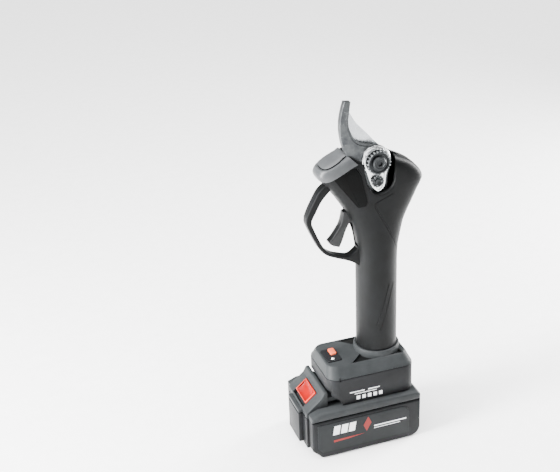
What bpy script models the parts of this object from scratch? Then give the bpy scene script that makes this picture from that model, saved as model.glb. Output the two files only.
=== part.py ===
"""Battery electric pruner: a bypass blade driven by a geared motor, on a slide-on battery pack."""
import math

import bmesh
import bpy
from mathutils import Matrix, Vector

MM = 0.001
GAP = 0.3                 # clearance between neighbouring pieces, mm

# Grip, gear train and blade axes, mm. X runs front to back, Y across, Z up; the pack rests on Z = 0.
PIVOT = (-4.0, 277.5)     # blade pivot, X and Z
DRIVE = (-4.0, 4.5)       # motor and gear axis, X and Y
TRIGGER_PIVOT = (-22.0, 227.0)
WALL = 2.2
SPLIT = 0.15              # each half shell stops this far from the middle plane

# Half shell sections: height, front X, back X, half thickness, squareness
SECTIONS = [
    (80.5, -19.0, 19.0, 19.0, 2.0),
    (150.0, -19.0, 19.0, 19.0, 2.0),
    (183.0, -19.2, 19.2, 18.6, 2.0),
    (195.0, -19.9, 19.9, 18.2, 2.1),
    (207.0, -21.8, 22.3, 17.8, 2.2),
    (217.0, -24.6, 24.6, 17.5, 2.3),
    (225.0, -27.5, 28.0, 17.2, 2.4),
    (234.0, -32.0, 32.4, 17.0, 2.6),
    (246.0, -39.5, 37.6, 16.8, 3.0),
    (254.0, -45.0, 41.4, 16.7, 3.3),
    (258.0, -48.2, 41.6, 16.6, 3.4),
    (263.0, -52.8, 38.8, 16.5, 3.5),
    (268.0, -56.0, 34.4, 16.4, 3.5),
    (272.0, -55.6, 29.6, 16.2, 3.5),
    (276.0, -52.4, 22.6, 15.8, 3.4),
    (280.0, -46.6, 14.4, 15.2, 3.3),
    (284.0, -38.4, 8.4, 14.2, 3.2),
    (287.0, -33.0, 3.4, 12.6, 3.0),
]
SECTION_SIDES = 36

# Battery pack
PACK_X = (-78.0, 31.0)
PACK_HALF = 36.3
PACK_SPLIT = 40.3
PACK_TOP = 48.7
PACK_WALL = 2.4
TOWER_X = (-58.8, 20.0)
CELL_RADIUS = 9.2
CELL_LENGTH = 65.0
CELL_PITCH = (19.2, 18.8)
FIRST_CELL = (-58.7, 11.9)
TERMINALS = (-8.0, 8.0)

# Nose and release button: the slope's foot, its direction and its outward normal
SLOPE_FOOT = (-80.0, 46.0)
SLOPE_TOP = (-65.0, 58.5)

# Foot
FOOT_X = (-58.3, 27.5)
FOOT_HALF = 30.2
FOOT_Z = (49.0, 76.2, 87.1)
FOOT_WALL = 2.4

# Gears
PLANET_MODULE = 0.5
SUN_TEETH = 12
PLANET_TEETH = 12
RING_TEETH = 36
BEVEL_MODULE = 0.88
PINION_TEETH = 10
SECTOR_TEETH = 45         # on a full circle
PRESSURE = math.radians(25.0)
BACKLASH = 0.06

parts = bpy.data.collections.new("battery_pruner")
cutters = bpy.data.collections.new("cutters")


def clear_scene():
    for item in list(bpy.data.objects):
        bpy.data.objects.remove(item, do_unlink=True)
    bpy.context.scene.collection.children.link(parts)
    bpy.context.scene.collection.children.link(cutters)


def material(name, colour, rough, metal=0.0):
    found = bpy.data.materials.get(name)
    if found:
        return found
    made = bpy.data.materials.new(name)
    made.use_nodes = True
    shader = made.node_tree.nodes["Principled BSDF"]
    shader.inputs["Base Color"].default_value = (*colour, 1.0)
    shader.inputs["Roughness"].default_value = rough
    shader.inputs["Metallic"].default_value = metal
    return made


# ---- making pieces -------------------------------------------------------------------------------

def object_of(name, mesh):
    made = bpy.data.objects.new(name, mesh)
    parts.objects.link(made)
    return made


def from_bmesh(name, bm):
    bmesh.ops.recalc_face_normals(bm, faces=bm.faces)
    mesh = bpy.data.meshes.new(name)
    bm.to_mesh(mesh)
    bm.free()
    return object_of(name, mesh)


def along(axis):
    """Turn local Z onto a world axis."""
    turns = {"X": Matrix.Rotation(math.pi / 2, 4, "Y"), "Y": Matrix.Rotation(-math.pi / 2, 4, "X")}
    return turns.get(axis, Matrix.Identity(4))


def box(name, low, high):
    size = [(b - a) * MM for a, b in zip(low, high)]
    centre = [(a + b) / 2 * MM for a, b in zip(low, high)]
    bm = bmesh.new()
    bmesh.ops.create_cube(bm, size=1.0, matrix=Matrix.Translation(centre) @ Matrix.Diagonal((*size, 1.0)))
    return from_bmesh(name, bm)


def cylinder(name, axis, across, span, radius, sides=32, radius_2=None):
    """A cylinder or cone along a world axis. across is its place on the two other axes."""
    low, high = span
    middle = (low + high) / 2
    centre = {"X": (middle, *across), "Y": (across[0], middle, across[1]), "Z": (*across, middle)}[axis]
    end = radius if radius_2 is None else radius_2
    bm = bmesh.new()
    place = Matrix.Translation([c * MM for c in centre]) @ along(axis)
    bmesh.ops.create_cone(bm, cap_ends=True, segments=sides, radius1=radius * MM, radius2=end * MM,
                          depth=(high - low) * MM, matrix=place)
    return from_bmesh(name, bm)


def prism(name, outline, axis, span):
    """A flat outline pushed along Y (outline in X and Z) or Z (outline in X and Y)."""
    curve = bpy.data.curves.new(name, "CURVE")
    curve.dimensions = "2D"
    curve.fill_mode = "BOTH"
    curve.extrude = (span[1] - span[0]) / 2 * MM
    loops = outline if isinstance(outline[0], list) else [outline]
    for loop in loops:
        spline = curve.splines.new("POLY")
        spline.points.add(len(loop) - 1)
        for point, (u, v) in zip(spline.points, loop):
            point.co = (u * MM, v * MM, 0.0, 1.0)
        spline.use_cyclic_u = True
    source = bpy.data.objects.new(name + "_curve", curve)
    bpy.context.scene.collection.objects.link(source)
    bpy.context.view_layer.update()
    mesh = bpy.data.meshes.new_from_object(source.evaluated_get(bpy.context.evaluated_depsgraph_get()))
    bpy.data.objects.remove(source, do_unlink=True)
    middle = (span[0] + span[1]) / 2 * MM
    if axis == "Y":
        place = Matrix.Translation((0, middle, 0)) @ Matrix.Rotation(math.pi / 2, 4, "X")
    else:
        place = Matrix.Translation((0, 0, middle))
    bm = bmesh.new()
    bm.from_mesh(mesh)
    bpy.data.meshes.remove(mesh)
    bmesh.ops.remove_doubles(bm, verts=bm.verts, dist=1e-6)
    bmesh.ops.transform(bm, matrix=place, verts=bm.verts)
    return from_bmesh(name, bm)


def profile_bar(name, outline, span):
    """An outline in Y and Z pushed along X."""
    return loft(name, [[(x, y, z) for y, z in outline] for x in span])


def turned(name, profile, centre, axis="Z", sides=28):
    """A turned piece. profile lists (radius, height) outside from top to bottom, then inside."""
    bm = bmesh.new()
    verts = [bm.verts.new((r * MM, 0.0, h * MM)) for r, h in profile]
    for first, second in zip(verts, verts[1:] + verts[:1]):
        if not (abs(first.co.x) < 1e-9 and abs(second.co.x) < 1e-9):
            bm.edges.new((first, second))
    mesh = bpy.data.meshes.new(name)
    bm.to_mesh(mesh)
    bm.free()
    made = object_of(name, mesh)
    made.matrix_world = Matrix.Translation([c * MM for c in centre]) @ along(axis)
    screw = made.modifiers.new("turn", "SCREW")
    screw.steps = sides
    screw.render_steps = sides
    screw.use_merge_vertices = True
    screw.merge_threshold = 1e-6
    return made


def loft(name, rings):
    """Closed skin through rings of equal point count, capped at both ends."""
    bm = bmesh.new()
    rows = [[bm.verts.new([c * MM for c in point]) for point in ring] for ring in rings]
    count = len(rows[0])
    for low, high in zip(rows, rows[1:]):
        for i in range(count):
            j = (i + 1) % count
            bm.faces.new((low[i], low[j], high[j], high[i]))
    bm.faces.new(rows[0][::-1])
    bm.faces.new(rows[-1])
    return from_bmesh(name, bm)


def tool(made):
    parts.objects.unlink(made)
    cutters.objects.link(made)
    made.display_type = "WIRE"
    made.hide_render = True
    return made


def combine(made, other, operation):
    if other.name in parts.objects:
        tool(other)
    step = made.modifiers.new(operation.lower(), "BOOLEAN")
    step.operation = operation
    step.solver = "EXACT"
    step.object = other
    return made


def cut(made, *others):
    for other in others:
        combine(made, other, "DIFFERENCE")
    return made


def join(made, *others):
    for other in others:
        combine(made, other, "UNION")
    return made


def soften(made, width, segments=2, angle=40.0):
    step = made.modifiers.new("round", "BEVEL")
    step.width = width * MM
    step.segments = segments
    step.limit_method = "ANGLE"
    step.angle_limit = math.radians(angle)
    step.harden_normals = False
    return made


def finish(made, paint, origin=None):
    made.data.materials.append(paint)
    if origin:
        shift = Vector([c * MM for c in origin]) - made.location
        made.data.transform(Matrix.Translation(-shift))
        made.location = made.location + shift
    return made


# ---- outlines ------------------------------------------------------------------------------------

def arc(centre, radius, start, stop, steps):
    angles = [math.radians(start + (stop - start) * i / steps) for i in range(steps + 1)]
    return [(centre[0] + radius * math.cos(a), centre[1] + radius * math.sin(a)) for a in angles]


def rounded(low, high, radius, steps=6):
    (x0, y0), (x1, y1) = low, high
    corners = [((x1 - radius, y0 + radius), -90), ((x1 - radius, y1 - radius), 0),
               ((x0 + radius, y1 - radius), 90), ((x0 + radius, y0 + radius), 180)]
    points = []
    for centre, start in corners:
        points += arc(centre, radius, start, start + 90, steps)
    return points


def grown(outline, amount):
    """Offset a closed outline outwards by moving each corner along its mitre."""
    area = sum(a[0] * b[1] - b[0] * a[1] for a, b in zip(outline, outline[1:] + outline[:1]))
    side = 1.0 if area > 0 else -1.0
    result = []
    for i, here in enumerate(outline):
        before = Vector(outline[i - 1])
        after = Vector(outline[(i + 1) % len(outline)])
        d1 = (Vector(here) - before).normalized()
        d2 = (after - Vector(here)).normalized()
        n1 = Vector((d1.y, -d1.x)) * side
        n2 = Vector((d2.y, -d2.x)) * side
        mitre = (n1 + n2) / max(0.3, 1.0 + n1.dot(n2))
        result.append(tuple(Vector(here) + mitre * amount))
    return result


def smooth(points, steps=4):
    """Open Catmull-Rom line through the points."""
    ends = [points[0]] + points + [points[-1]]
    result = []
    for a, b, c, d in zip(ends, ends[1:], ends[2:], ends[3:]):
        for k in range(steps):
            t = k / steps
            result.append(tuple(0.5 * (2 * b[i] + (c[i] - a[i]) * t
                                       + (2 * a[i] - 5 * b[i] + 4 * c[i] - d[i]) * t * t
                                       + (3 * b[i] - a[i] - 3 * c[i] + d[i]) * t ** 3) for i in (0, 1)))
    return result + [points[-1]]


def section_at(height):
    for low, high in zip(SECTIONS, SECTIONS[1:]):
        if height <= high[0]:
            part = (height - low[0]) / (high[0] - low[0])
            return [a + (b - a) * part for a, b in zip(low, high)]
    return list(SECTIONS[-1])


def shell_ring(height, offset, section=None):
    _, front, back, half, power = section or section_at(height)
    middle = (front + back) / 2
    wide = (back - front) / 2 + offset
    deep = half + offset
    ring = []
    for i in range(SECTION_SIDES):
        angle = 2 * math.pi * (i + 0.5) / SECTION_SIDES
        c, s = math.cos(angle), math.sin(angle)
        reach = (abs(c) ** power + abs(s) ** power) ** (-1 / power)
        ring.append((middle + wide * c * reach, deep * s * reach, height))
    return ring


def housing_body(name, offset, bottom=None, top=None):
    """The grip and head as one solid, grown or shrunk by an offset."""
    low = SECTIONS[0][0] if bottom is None else bottom
    high = SECTIONS[-1][0] + offset if top is None else top
    heights = [s[0] for s in SECTIONS if low < s[0] < high]
    rings = [shell_ring(low, offset, [low, *SECTIONS[0][1:]])]
    rings += [shell_ring(h, offset) for h in heights]
    rings.append(shell_ring(high, offset, [high, *section_at(high)[1:]]))
    return loft(name, rings)


# ---- gear outlines -------------------------------------------------------------------------------

def involute_half(teeth, module, radius, thin):
    """Half the angle of a tooth at a radius."""
    pitch = teeth * module / 2
    base = pitch * math.cos(PRESSURE)
    flat = math.pi / (2 * teeth) - thin / (2 * pitch)
    here = math.acos(min(1.0, base / max(radius, base)))
    return flat + (math.tan(PRESSURE) - PRESSURE) - (math.tan(here) - here)


def spur_outline(teeth, module, outer, root, thin, phase=0.0, rows=3):
    pitch = teeth * module / 2
    base = pitch * math.cos(PRESSURE)
    start = max(root, base)
    radii = [start + (outer - start) * i / (rows - 1) for i in range(rows)]
    points = []
    for k in range(teeth):
        middle = phase + 2 * math.pi * k / teeth
        halves = [(r, involute_half(teeth, module, r, thin)) for r in radii]
        if root < start - 1e-6:
            halves.insert(0, (root, halves[0][1]))
        rising = [(r, middle - h) for r, h in halves]
        falling = [(r, middle + h) for r, h in reversed(halves)]
        points += [(r * math.cos(a), r * math.sin(a)) for r, a in rising + falling]
    return points


def moved(outline, centre):
    return [(u + centre[0], v + centre[1]) for u, v in outline]


# ---- colours -------------------------------------------------------------------------------------

def charcoal():
    return material("charcoal_plastic", (0.045, 0.047, 0.05), 0.5)


def black():
    return material("black_plastic", (0.012, 0.012, 0.013), 0.4)


def gloss():
    return material("gloss_black", (0.006, 0.006, 0.007), 0.12)


def grey():
    return material("grey_plastic", (0.2, 0.205, 0.21), 0.45)


def red():
    return material("red_plastic", (0.75, 0.035, 0.02), 0.4)


def forged():
    return material("forged_steel", (0.09, 0.09, 0.095), 0.45, 0.9)


def steel():
    return material("bright_steel", (0.62, 0.63, 0.64), 0.25, 1.0)


def black_steel():
    return material("black_oxide_steel", (0.03, 0.03, 0.032), 0.4, 0.8)


def copper():
    return material("copper", (0.7, 0.3, 0.15), 0.35, 1.0)


def board():
    return material("circuit_board", (0.01, 0.12, 0.04), 0.5)


def cell_wrap():
    return material("cell_wrap", (0.05, 0.25, 0.5), 0.4)


def white():
    return material("white_lens", (0.85, 0.87, 0.88), 0.3)


# ---- grip and head shells ------------------------------------------------------------------------

VALLEY = [(-27.0, 284.0), (-16.6, 276.0), (-16.2, 269.0), (-14.3, 259.8), (-10.6, 249.8), (-3.1, 246.7),
          (4.5, 248.3), (10.1, 254.9), (11.8, 273.3), (13.6, 281.3), (15.0, 300.0), (-36.0, 300.0),
          (-36.0, 292.0)]
CAP_REGION = [(-66.0, 265.5), (-51.6, 264.6), (-47.9, 266.0), (-29.6, 276.0), (-23.1, 278.6),
              (-32.4, 287.6), (-45.0, 296.0), (-66.0, 284.0)]
WINDOW = [(-44.5, 267.4), (-29.8, 275.2), (-24.4, 275.0), (-20.7, 269.1), (-14.9, 243.0), (-16.5, 239.4),
          (-22.8, 238.2)]
BOSSES = [(0.0, 100.0), (0.0, 142.0), (15.5, 222.0), (31.0, 252.0), (-46.5, 271.5)]
BOSS_RADIUS = 3.4
HOOK_OUTER = [(-31.8, 285.7), (-35.1, 294.7), (-37.2, 305.7), (-37.3, 316.3), (-35.5, 326.6), (-33.2, 334.1)]
HOOK_INNER = [(-27.6, 333.4), (-28.9, 324.0), (-29.7, 317.0), (-28.6, 309.0), (-23.3, 298.9), (-16.4, 294.9),
              (-11.0, 293.6)]


def hook_outline():
    points = smooth(HOOK_INNER, 2)
    points += arc(PIVOT, 13.5, 85, -25, 10)
    points += [(6.0, 262.0), (6.0, 242.0), (-14.0, 242.0), (-14.0, 262.0), (-17.0, 270.0), (-22.0, 275.5),
               (-28.0, 281.0)]
    return points + smooth(HOOK_OUTER, 2)


def guard_outline():
    outer = [(-46.5, 260.5), (-54.3, 254.4), (-60.0, 245.1), (-64.9, 235.5), (-67.0, 229.3), (-66.2, 222.4),
             (-58.3, 204.6), (-53.8, 196.9), (-48.3, 191.9), (-39.8, 187.8), (-30.3, 183.9), (-23.0, 180.0),
             (-17.2, 175.0)]
    inner = [(-17.2, 196.0), (-21.5, 191.4), (-27.3, 187.9), (-35.0, 189.3), (-44.4, 193.1), (-51.8, 200.4),
             (-60.7, 220.5), (-61.9, 227.4), (-58.5, 234.4), (-52.7, 244.8), (-45.1, 253.0), (-41.0, 256.0)]
    return smooth(outer, 2) + smooth(inner, 2)


def skin(name, out, inside, outline, span):
    """A patch of the shell's surface between two offsets, inside an outline."""
    made = housing_body(name, out, bottom=90.0)
    cut(made, housing_body(name + "_core", inside, bottom=85.0, top=SECTIONS[-1][0] + inside - 0.001))
    return combine(made, prism(name + "_region", outline, "Y", span), "INTERSECT")


def housing(side):
    label = "left" if side < 0 else "right"
    near, far = sorted((side * SPLIT, side * 30.0))
    made = housing_body("housing_" + label, 0.0)
    hollow = housing_body(label + "_hollow", -WALL, bottom=78.0)
    for index, place in enumerate(BOSSES):
        cut(hollow, cylinder(f"{label}_boss_{index}", "Y", place, (-20.0, 20.0), BOSS_RADIUS, 16))
    span = sorted((side * 4.9, side * 20.0))
    cut(hollow, cylinder(label + "_trigger_boss", "Y", TRIGGER_PIVOT, span, 3.0, 24))
    cut(made, hollow)
    combine(made, box(label + "_half", (-80, near, 70), (60, far, 300)), "INTERSECT")
    for index, place in enumerate(BOSSES):
        hole = sorted((side * -1.0, side * (7.6 if side < 0 else 25.0)))
        cut(made, cylinder(f"{label}_hole_{index}", "Y", place, hole, 1.6, 12))
        if side > 0:
            cut(made, cylinder(f"{label}_head_{index}", "Y", place, (9.0, 25.0), 2.9, 16))
    cut(made, cylinder(label + "_pin_hole", "Y", TRIGGER_PIVOT, sorted((side * 3.0, side * 8.6)), 1.55, 20))
    cut(made, skin(label + "_cap_pocket", 3.0, -1.0, grown(CAP_REGION, GAP), (-25, 25)))
    span = sorted((side * 3.0, side * 25.0))
    cut(made, skin(label + "_window_pocket", 3.4, -1.15, grown(WINDOW, GAP), span))
    cut(made, prism(label + "_guard_pocket", grown(guard_outline(), GAP), "Y", (-5.1, 5.1)))
    trigger_slot = [(-38.0, 212.5), (-12.5, 212.5), (-12.5, 236.0), (-38.0, 236.0)]
    cut(made, prism(label + "_trigger_slot", trigger_slot, "Y", (-4.6, 4.6)))
    if side < 0:
        cut(made, prism("valley", VALLEY, "Y", (-25.0, -4.9)))
        cut(made, prism("hook_way", grown(hook_outline(), 0.5), "Y", (-25.0, -4.9)))
        cut(made, box("blade_way", (-37.2, -5.6, 264.0), (18.0, 0.5, 300.0)))
    return finish(made, charcoal())


def shoulder_cap():
    made = skin("shoulder_cap", 0.8, -0.7, CAP_REGION, (-25, 25))
    cut(made, prism("cap_hook_way", grown(hook_outline(), 0.6), "Y", (-25.0, -4.9)))
    cut(made, box("cap_blade_way", (-37.4, -5.8, 264.0), (18.0, 0.5, 300.0)))
    return finish(made, grey())


def side_window(side):
    label = "left" if side < 0 else "right"
    made = skin("side_window_" + label, 0.3, -0.7, WINDOW, sorted((side * 4.0, side * 25.0)))
    return finish(made, gloss())


def trigger_guard():
    made = prism("trigger_guard", guard_outline(), "Y", (-4.8, 4.8))
    soften(made, 1.2, 2, 50)
    return finish(made, charcoal())


def housing_screw(index, place):
    profile = [(0, 11.4), (2.6, 11.4), (2.6, 9.3), (1.45, 9.3), (1.45, -7.0), (0, -7.0)]
    made = turned(f"housing_screw_{index + 1}", profile, (place[0], 0, place[1]), "Y", 14)
    cut(made, cylinder(f"screw_socket_{index}", "Y", place, (10.2, 12.0), 1.3, 6))
    return finish(made, black_steel())


# ---- blade head ----------------------------------------------------------------------------------

PLATE_OUTLINE = [(-18.1, 282.0), (-15.6, 289.6), (-7.4, 292.2), (1.0, 289.2), (6.6, 281.1), (5.7, 272.0),
                 (3.4, 264.9), (2.0, 255.0), (-3.6, 250.2), (-9.6, 256.0), (-13.2, 264.9), (-15.7, 273.5)]
LOCK = (-4.9, 260.5)
BLADE_SCREWS = [(-10.0, 244.8), (2.0, 244.8)]
BOLT_RADIUS = 4.0
RIVETS = [20.0, 42.0]
RIVET_REACH = 10.2


def ring_cut(made, label, centre, radius, sides=32):
    return cut(made, cylinder(label, "Y", centre, (-30, 30), radius, sides))


def head_plate():
    outline = smooth(PLATE_OUTLINE + [PLATE_OUTLINE[0]], 2)[:-1]
    made = prism("head_plate", outline, "Y", (-14.2, -11.7))
    cut(made, prism("plate_sink", grown(outline, -1.6), "Y", (-20.0, -13.5)))
    ring_cut(made, "plate_bore", PIVOT, BOLT_RADIUS + 0.1)
    ring_cut(made, "plate_lock_bore", LOCK, 1.6, 20)
    return finish(made, steel())


def fixed_blade():
    made = prism("fixed_blade", hook_outline(), "Y", (-11.4, -5.4))
    ring_cut(made, "hook_bore", PIVOT, BOLT_RADIUS + 0.1)
    ring_cut(made, "hook_lock_bore", LOCK, 1.6, 20)
    for index, place in enumerate(BLADE_SCREWS):
        ring_cut(made, f"hook_screw_bore_{index}", place, 1.6, 20)
    return finish(made, forged())


def serrated_nut():
    teeth = 22
    points = []
    for k in range(teeth):
        turn = 2 * math.pi * k / teeth
        for part, radius in ((0.0, 11.1), (0.3, 11.1), (0.45, 10.0), (0.85, 10.0)):
            angle = turn + part * 2 * math.pi / teeth
            points.append((PIVOT[0] + radius * math.cos(angle), PIVOT[1] + radius * math.sin(angle)))
    made = prism("serrated_nut", points, "Y", (-17.0, -14.5))
    ring_cut(made, "nut_bore", PIVOT, BOLT_RADIUS + 0.1)
    cut(made, cylinder("nut_dish", "Y", PIVOT, (-20.0, -16.2), 8.2, 32))
    return finish(made, black_steel())


def pivot_bolt():
    profile = [(0, 12.0), (BOLT_RADIUS, 12.0), (BOLT_RADIUS, -15.9), (BOLT_RADIUS, -16.5), (6.2, -16.5),
               (6.2, -19.0), (0, -19.0)]
    made = turned("pivot_bolt", profile, (PIVOT[0], 0, PIVOT[1]), "Y", 28)
    cut(made, cylinder("bolt_socket", "Y", PIVOT, (-22.0, -17.4), 2.6, 6))
    return finish(made, steel())


def lock_gear():
    teeth = 14
    points = []
    for k in range(teeth):
        turn = 2 * math.pi * k / teeth
        for part, radius in ((0.0, 5.3), (0.3, 5.3), (0.45, 4.5), (0.85, 4.5)):
            angle = turn + part * 2 * math.pi / teeth
            points.append((LOCK[0] + radius * math.cos(angle), LOCK[1] + radius * math.sin(angle)))
    made = prism("lock_gear", points, "Y", (-16.6, -14.5))
    ring_cut(made, "lock_gear_bore", LOCK, 1.6, 20)
    return finish(made, black_steel())


def lock_screw():
    profile = [(0, -5.6), (1.5, -5.6), (1.5, -16.7), (2.9, -16.7), (2.9, -18.0), (0, -18.0)]
    made = turned("lock_screw", profile, (LOCK[0], 0, LOCK[1]), "Y", 24)
    cut(made, cylinder("lock_socket", "Y", LOCK, (-20.0, -17.2), 1.4, 6))
    return finish(made, steel())


def blade_screw(index, place):
    profile = [(0, -1.0), (1.5, -1.0), (1.5, -11.7), (2.6, -11.7), (2.6, -13.2), (0, -13.2)]
    return finish(turned(f"blade_screw_{index + 1}", profile, (place[0], 0, place[1]), "Y", 20), steel())


def head_frame():
    made = box("head_frame", (-14.0, 8.6, 239.0), (6.0, 10.9, 279.0))
    join(made, cylinder("frame_ear", "Y", PIVOT, (8.61, 10.89), 6.0, 32))
    join(made, box("frame_floor", (-13.9, -5.1, 239.0), (5.9, 10.0, 247.0)))
    cut(made, cylinder("frame_bearing_bore", "Z", DRIVE, (230.0, 266.0), 6.1, 40))
    ring_cut(made, "frame_bore", PIVOT, BOLT_RADIUS + 0.1)
    for index, place in enumerate(BLADE_SCREWS):
        cut(made, cylinder(f"frame_screw_bore_{index}", "Y", place, (-9.0, -0.6), 1.6, 20))
    return finish(made, forged())


def moving_blade():
    edge = [(-15.7, 273.2), (-19.0, 280.5), (-29.0, 295.0), (-32.6, 305.0), (-33.8, 314.0), (-33.0, 321.5),
            (-30.5, 326.5)]
    spine = [(-25.8, 321.1), (-21.3, 313.4), (-15.9, 307.3), (-9.5, 300.6), (-3.0, 293.2), (3.5, 287.5)]
    outline = smooth(edge, 3) + smooth(spine, 3) + arc(PIVOT, 12.5, 50, -155, 18)
    made = prism("moving_blade", outline, "Y", (-5.1, -2.3))
    ring_cut(made, "blade_bore", PIVOT, 7.15)
    for angle in RIVETS:
        ring_cut(made, f"blade_rivet_bore_{angle:.0f}", rivet_place(angle), 1.25, 16)
    return finish(made, steel(), (PIVOT[0], 0, PIVOT[1]))


def rivet_place(angle):
    turn = math.radians(angle)
    return (PIVOT[0] + RIVET_REACH * math.sin(turn), PIVOT[1] - RIVET_REACH * math.cos(turn))


def pivot_bush():
    made = cylinder("pivot_bush", "Y", PIVOT, (-5.1, -2.3), 7.0, 36)
    ring_cut(made, "bush_bore", PIVOT, BOLT_RADIUS + 0.06)
    return finish(made, copper(), (PIVOT[0], 0, PIVOT[1]))


def sector_point(turn, scale, height):
    """A point on the sector's pitch cone, raised along the cone's normal."""
    reach = SECTOR_TEETH * BEVEL_MODULE / 2
    drop = PINION_TEETH * BEVEL_MODULE / 2
    length = math.hypot(reach, drop)
    radial = scale * (reach + height * drop / length)
    depth = scale * (-drop + height * reach / length)
    return (PIVOT[0] + radial * math.sin(turn), DRIVE[1] + depth, PIVOT[1] - radial * math.cos(turn))


def bevel_sector():
    reach = SECTOR_TEETH * BEVEL_MODULE / 2
    tip, root = 0.7 * BEVEL_MODULE, -0.85 * BEVEL_MODULE
    half = math.pi * BEVEL_MODULE / 4 - 0.07
    slope = math.tan(PRESSURE)
    stations = [(math.radians(-13.0), root)]
    for k in range(-1, 9):
        middle = math.radians(k * 360.0 / SECTOR_TEETH)
        for side, height in ((-1, root), (-1, tip), (1, tip), (1, root)):
            stations.append((middle + side * (half - height * slope) / reach, height))
    stations.append((math.radians(69.0), root))
    rings = []
    for turn, height in stations:
        high, low = sector_point(turn, 1.0, height), sector_point(turn, 0.7, height)
        rings.append([(high[0], -2.0, high[2]), high, low, (low[0], -2.0, low[2])])
    made = loft("bevel_sector", rings)
    web = arc(PIVOT, 14.6, -103, -21, 16) + arc(PIVOT, 8.0, -21, -103, 12)
    join(made, prism("sector_web", web, "Y", (-2.0, -0.9)))
    for angle in RIVETS:
        ring_cut(made, f"sector_rivet_bore_{angle:.0f}", rivet_place(angle), 1.25, 16)
    return finish(made, black_steel(), (PIVOT[0], 0, PIVOT[1]))


def sector_rivet(index, angle):
    made = cylinder(f"sector_rivet_{index + 1}", "Y", rivet_place(angle), (-5.0, -0.95), 1.2, 16)
    return finish(made, steel(), (PIVOT[0], 0, PIVOT[1]))


# ---- gear train and motor ------------------------------------------------------------------------

SUN_REACH = PLANET_MODULE * (SUN_TEETH + PLANET_TEETH) / 2


def bevel_pinion():
    module = BEVEL_MODULE
    pitch = PINION_TEETH * module / 2
    outline = spur_outline(PINION_TEETH, module, pitch + 0.7 * module, pitch - 0.85 * module, 0.1,
                           phase=-math.pi / 2 + math.pi / PINION_TEETH)
    rings = []
    for scale in (0.985, 0.72):
        height = PIVOT[1] - scale * SECTOR_TEETH * module / 2
        rings.append([(DRIVE[0] + scale * u, DRIVE[1] + scale * v, height) for u, v in outline])
    made = loft("bevel_pinion", rings)
    join(made, cylinder("pinion_hub", "Z", DRIVE, (248.0, 258.6), 2.8, 28))
    cut(made, cylinder("pinion_bore", "Z", DRIVE, (240.0, 270.0), 1.65, 24))
    return finish(made, steel(), (*DRIVE, 255.0))


def output_shaft():
    profile = [(0, 264.0), (1.6, 264.0), (1.6, 230.6), (8.2, 230.6), (8.2, 228.0), (0, 228.0)]
    made = turned("output_shaft", [(r, h - 228.0) for r, h in profile], (*DRIVE, 228.0))
    for index, place in enumerate(planet_places()):
        join(made, cylinder(f"planet_pin_{index}", "Z", place, (219.0, 229.0), 1.0, 16))
    return finish(made, steel())


def planet_places():
    turns = [math.radians(120.0 * k) for k in range(3)]
    return [(DRIVE[0] + SUN_REACH * math.cos(t), DRIVE[1] + SUN_REACH * math.sin(t)) for t in turns]


def planet_gear(index, place):
    pitch = PLANET_TEETH * PLANET_MODULE / 2
    outline = spur_outline(PLANET_TEETH, PLANET_MODULE, pitch + 0.4, pitch - 0.5, BACKLASH,
                           phase=math.pi / PLANET_TEETH)
    made = prism(f"planet_gear_{index + 1}", moved(outline, place), "Z", (218.7, 226.2))
    cut(made, cylinder(f"planet_bore_{index}", "Z", place, (210.0, 230.0), 1.06, 16))
    return finish(made, steel(), (*place, 222.5))


def motor_shaft():
    profile = [(0, 224.0), (1.5, 224.0), (1.5, 158.0), (0, 158.0)]
    made = turned("motor_shaft", [(r, h - 158.0) for r, h in profile], (*DRIVE, 158.0), sides=24)
    pitch = SUN_TEETH * PLANET_MODULE / 2
    outline = spur_outline(SUN_TEETH, PLANET_MODULE, pitch + 0.4, pitch - 0.5, BACKLASH)
    join(made, prism("sun_teeth", moved(outline, DRIVE), "Z", (218.7, 226.2)))
    return finish(made, steel())


def rotor():
    profile = [(5.6, 208.0), (5.6, 168.0), (1.56, 168.0), (1.56, 208.0)]
    made = turned("rotor", [(r, h - 168.0) for r, h in profile], (*DRIVE, 168.0), sides=36)
    return finish(made, black_steel())


def stator():
    profile = [(9.2, 206.0), (9.2, 170.0), (6.0, 170.0), (6.0, 206.0)]
    made = turned("stator", [(r, h - 170.0) for r, h in profile], (*DRIVE, 170.0), sides=36)
    return finish(made, copper())


def motor_can():
    profile = [(10.2, 217.2), (10.2, 162.0), (1.7, 162.0), (1.7, 164.0), (9.5, 164.0), (9.5, 215.0), (1.7, 215.0),
               (1.7, 217.2)]
    made = turned("motor_can", [(r, h - 162.0) for r, h in profile], (*DRIVE, 162.0))
    return finish(made, steel())


def ring_gear():
    module = PLANET_MODULE
    pitch = RING_TEETH * module / 2
    made = cylinder("ring_gear", "Z", DRIVE, (217.5, 226.6), 10.0, 48)
    spaces = spur_outline(RING_TEETH, module, pitch + 0.5, pitch - 0.4, -BACKLASH,
                          phase=math.pi / RING_TEETH, rows=3)
    cut(made, prism("ring_teeth", moved(spaces, DRIVE), "Z", (216.0, 228.0)))
    return finish(made, steel())


def gearbox_cover():
    profile = [(10.0, 237.0), (10.0, 226.9), (8.8, 226.9), (8.8, 235.0), (2.2, 235.0), (2.2, 237.0)]
    made = turned("gearbox_cover", [(r, h - 226.9) for r, h in profile], (*DRIVE, 226.9))
    return finish(made, steel())


def output_bearing():
    profile = [(6.0, 246.0), (6.0, 240.0), (1.7, 240.0), (1.7, 246.0)]
    made = turned("output_bearing", [(r, h - 240.0) for r, h in profile], (*DRIVE, 240.0))
    return finish(made, steel())


# ---- trigger -------------------------------------------------------------------------------------

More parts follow.
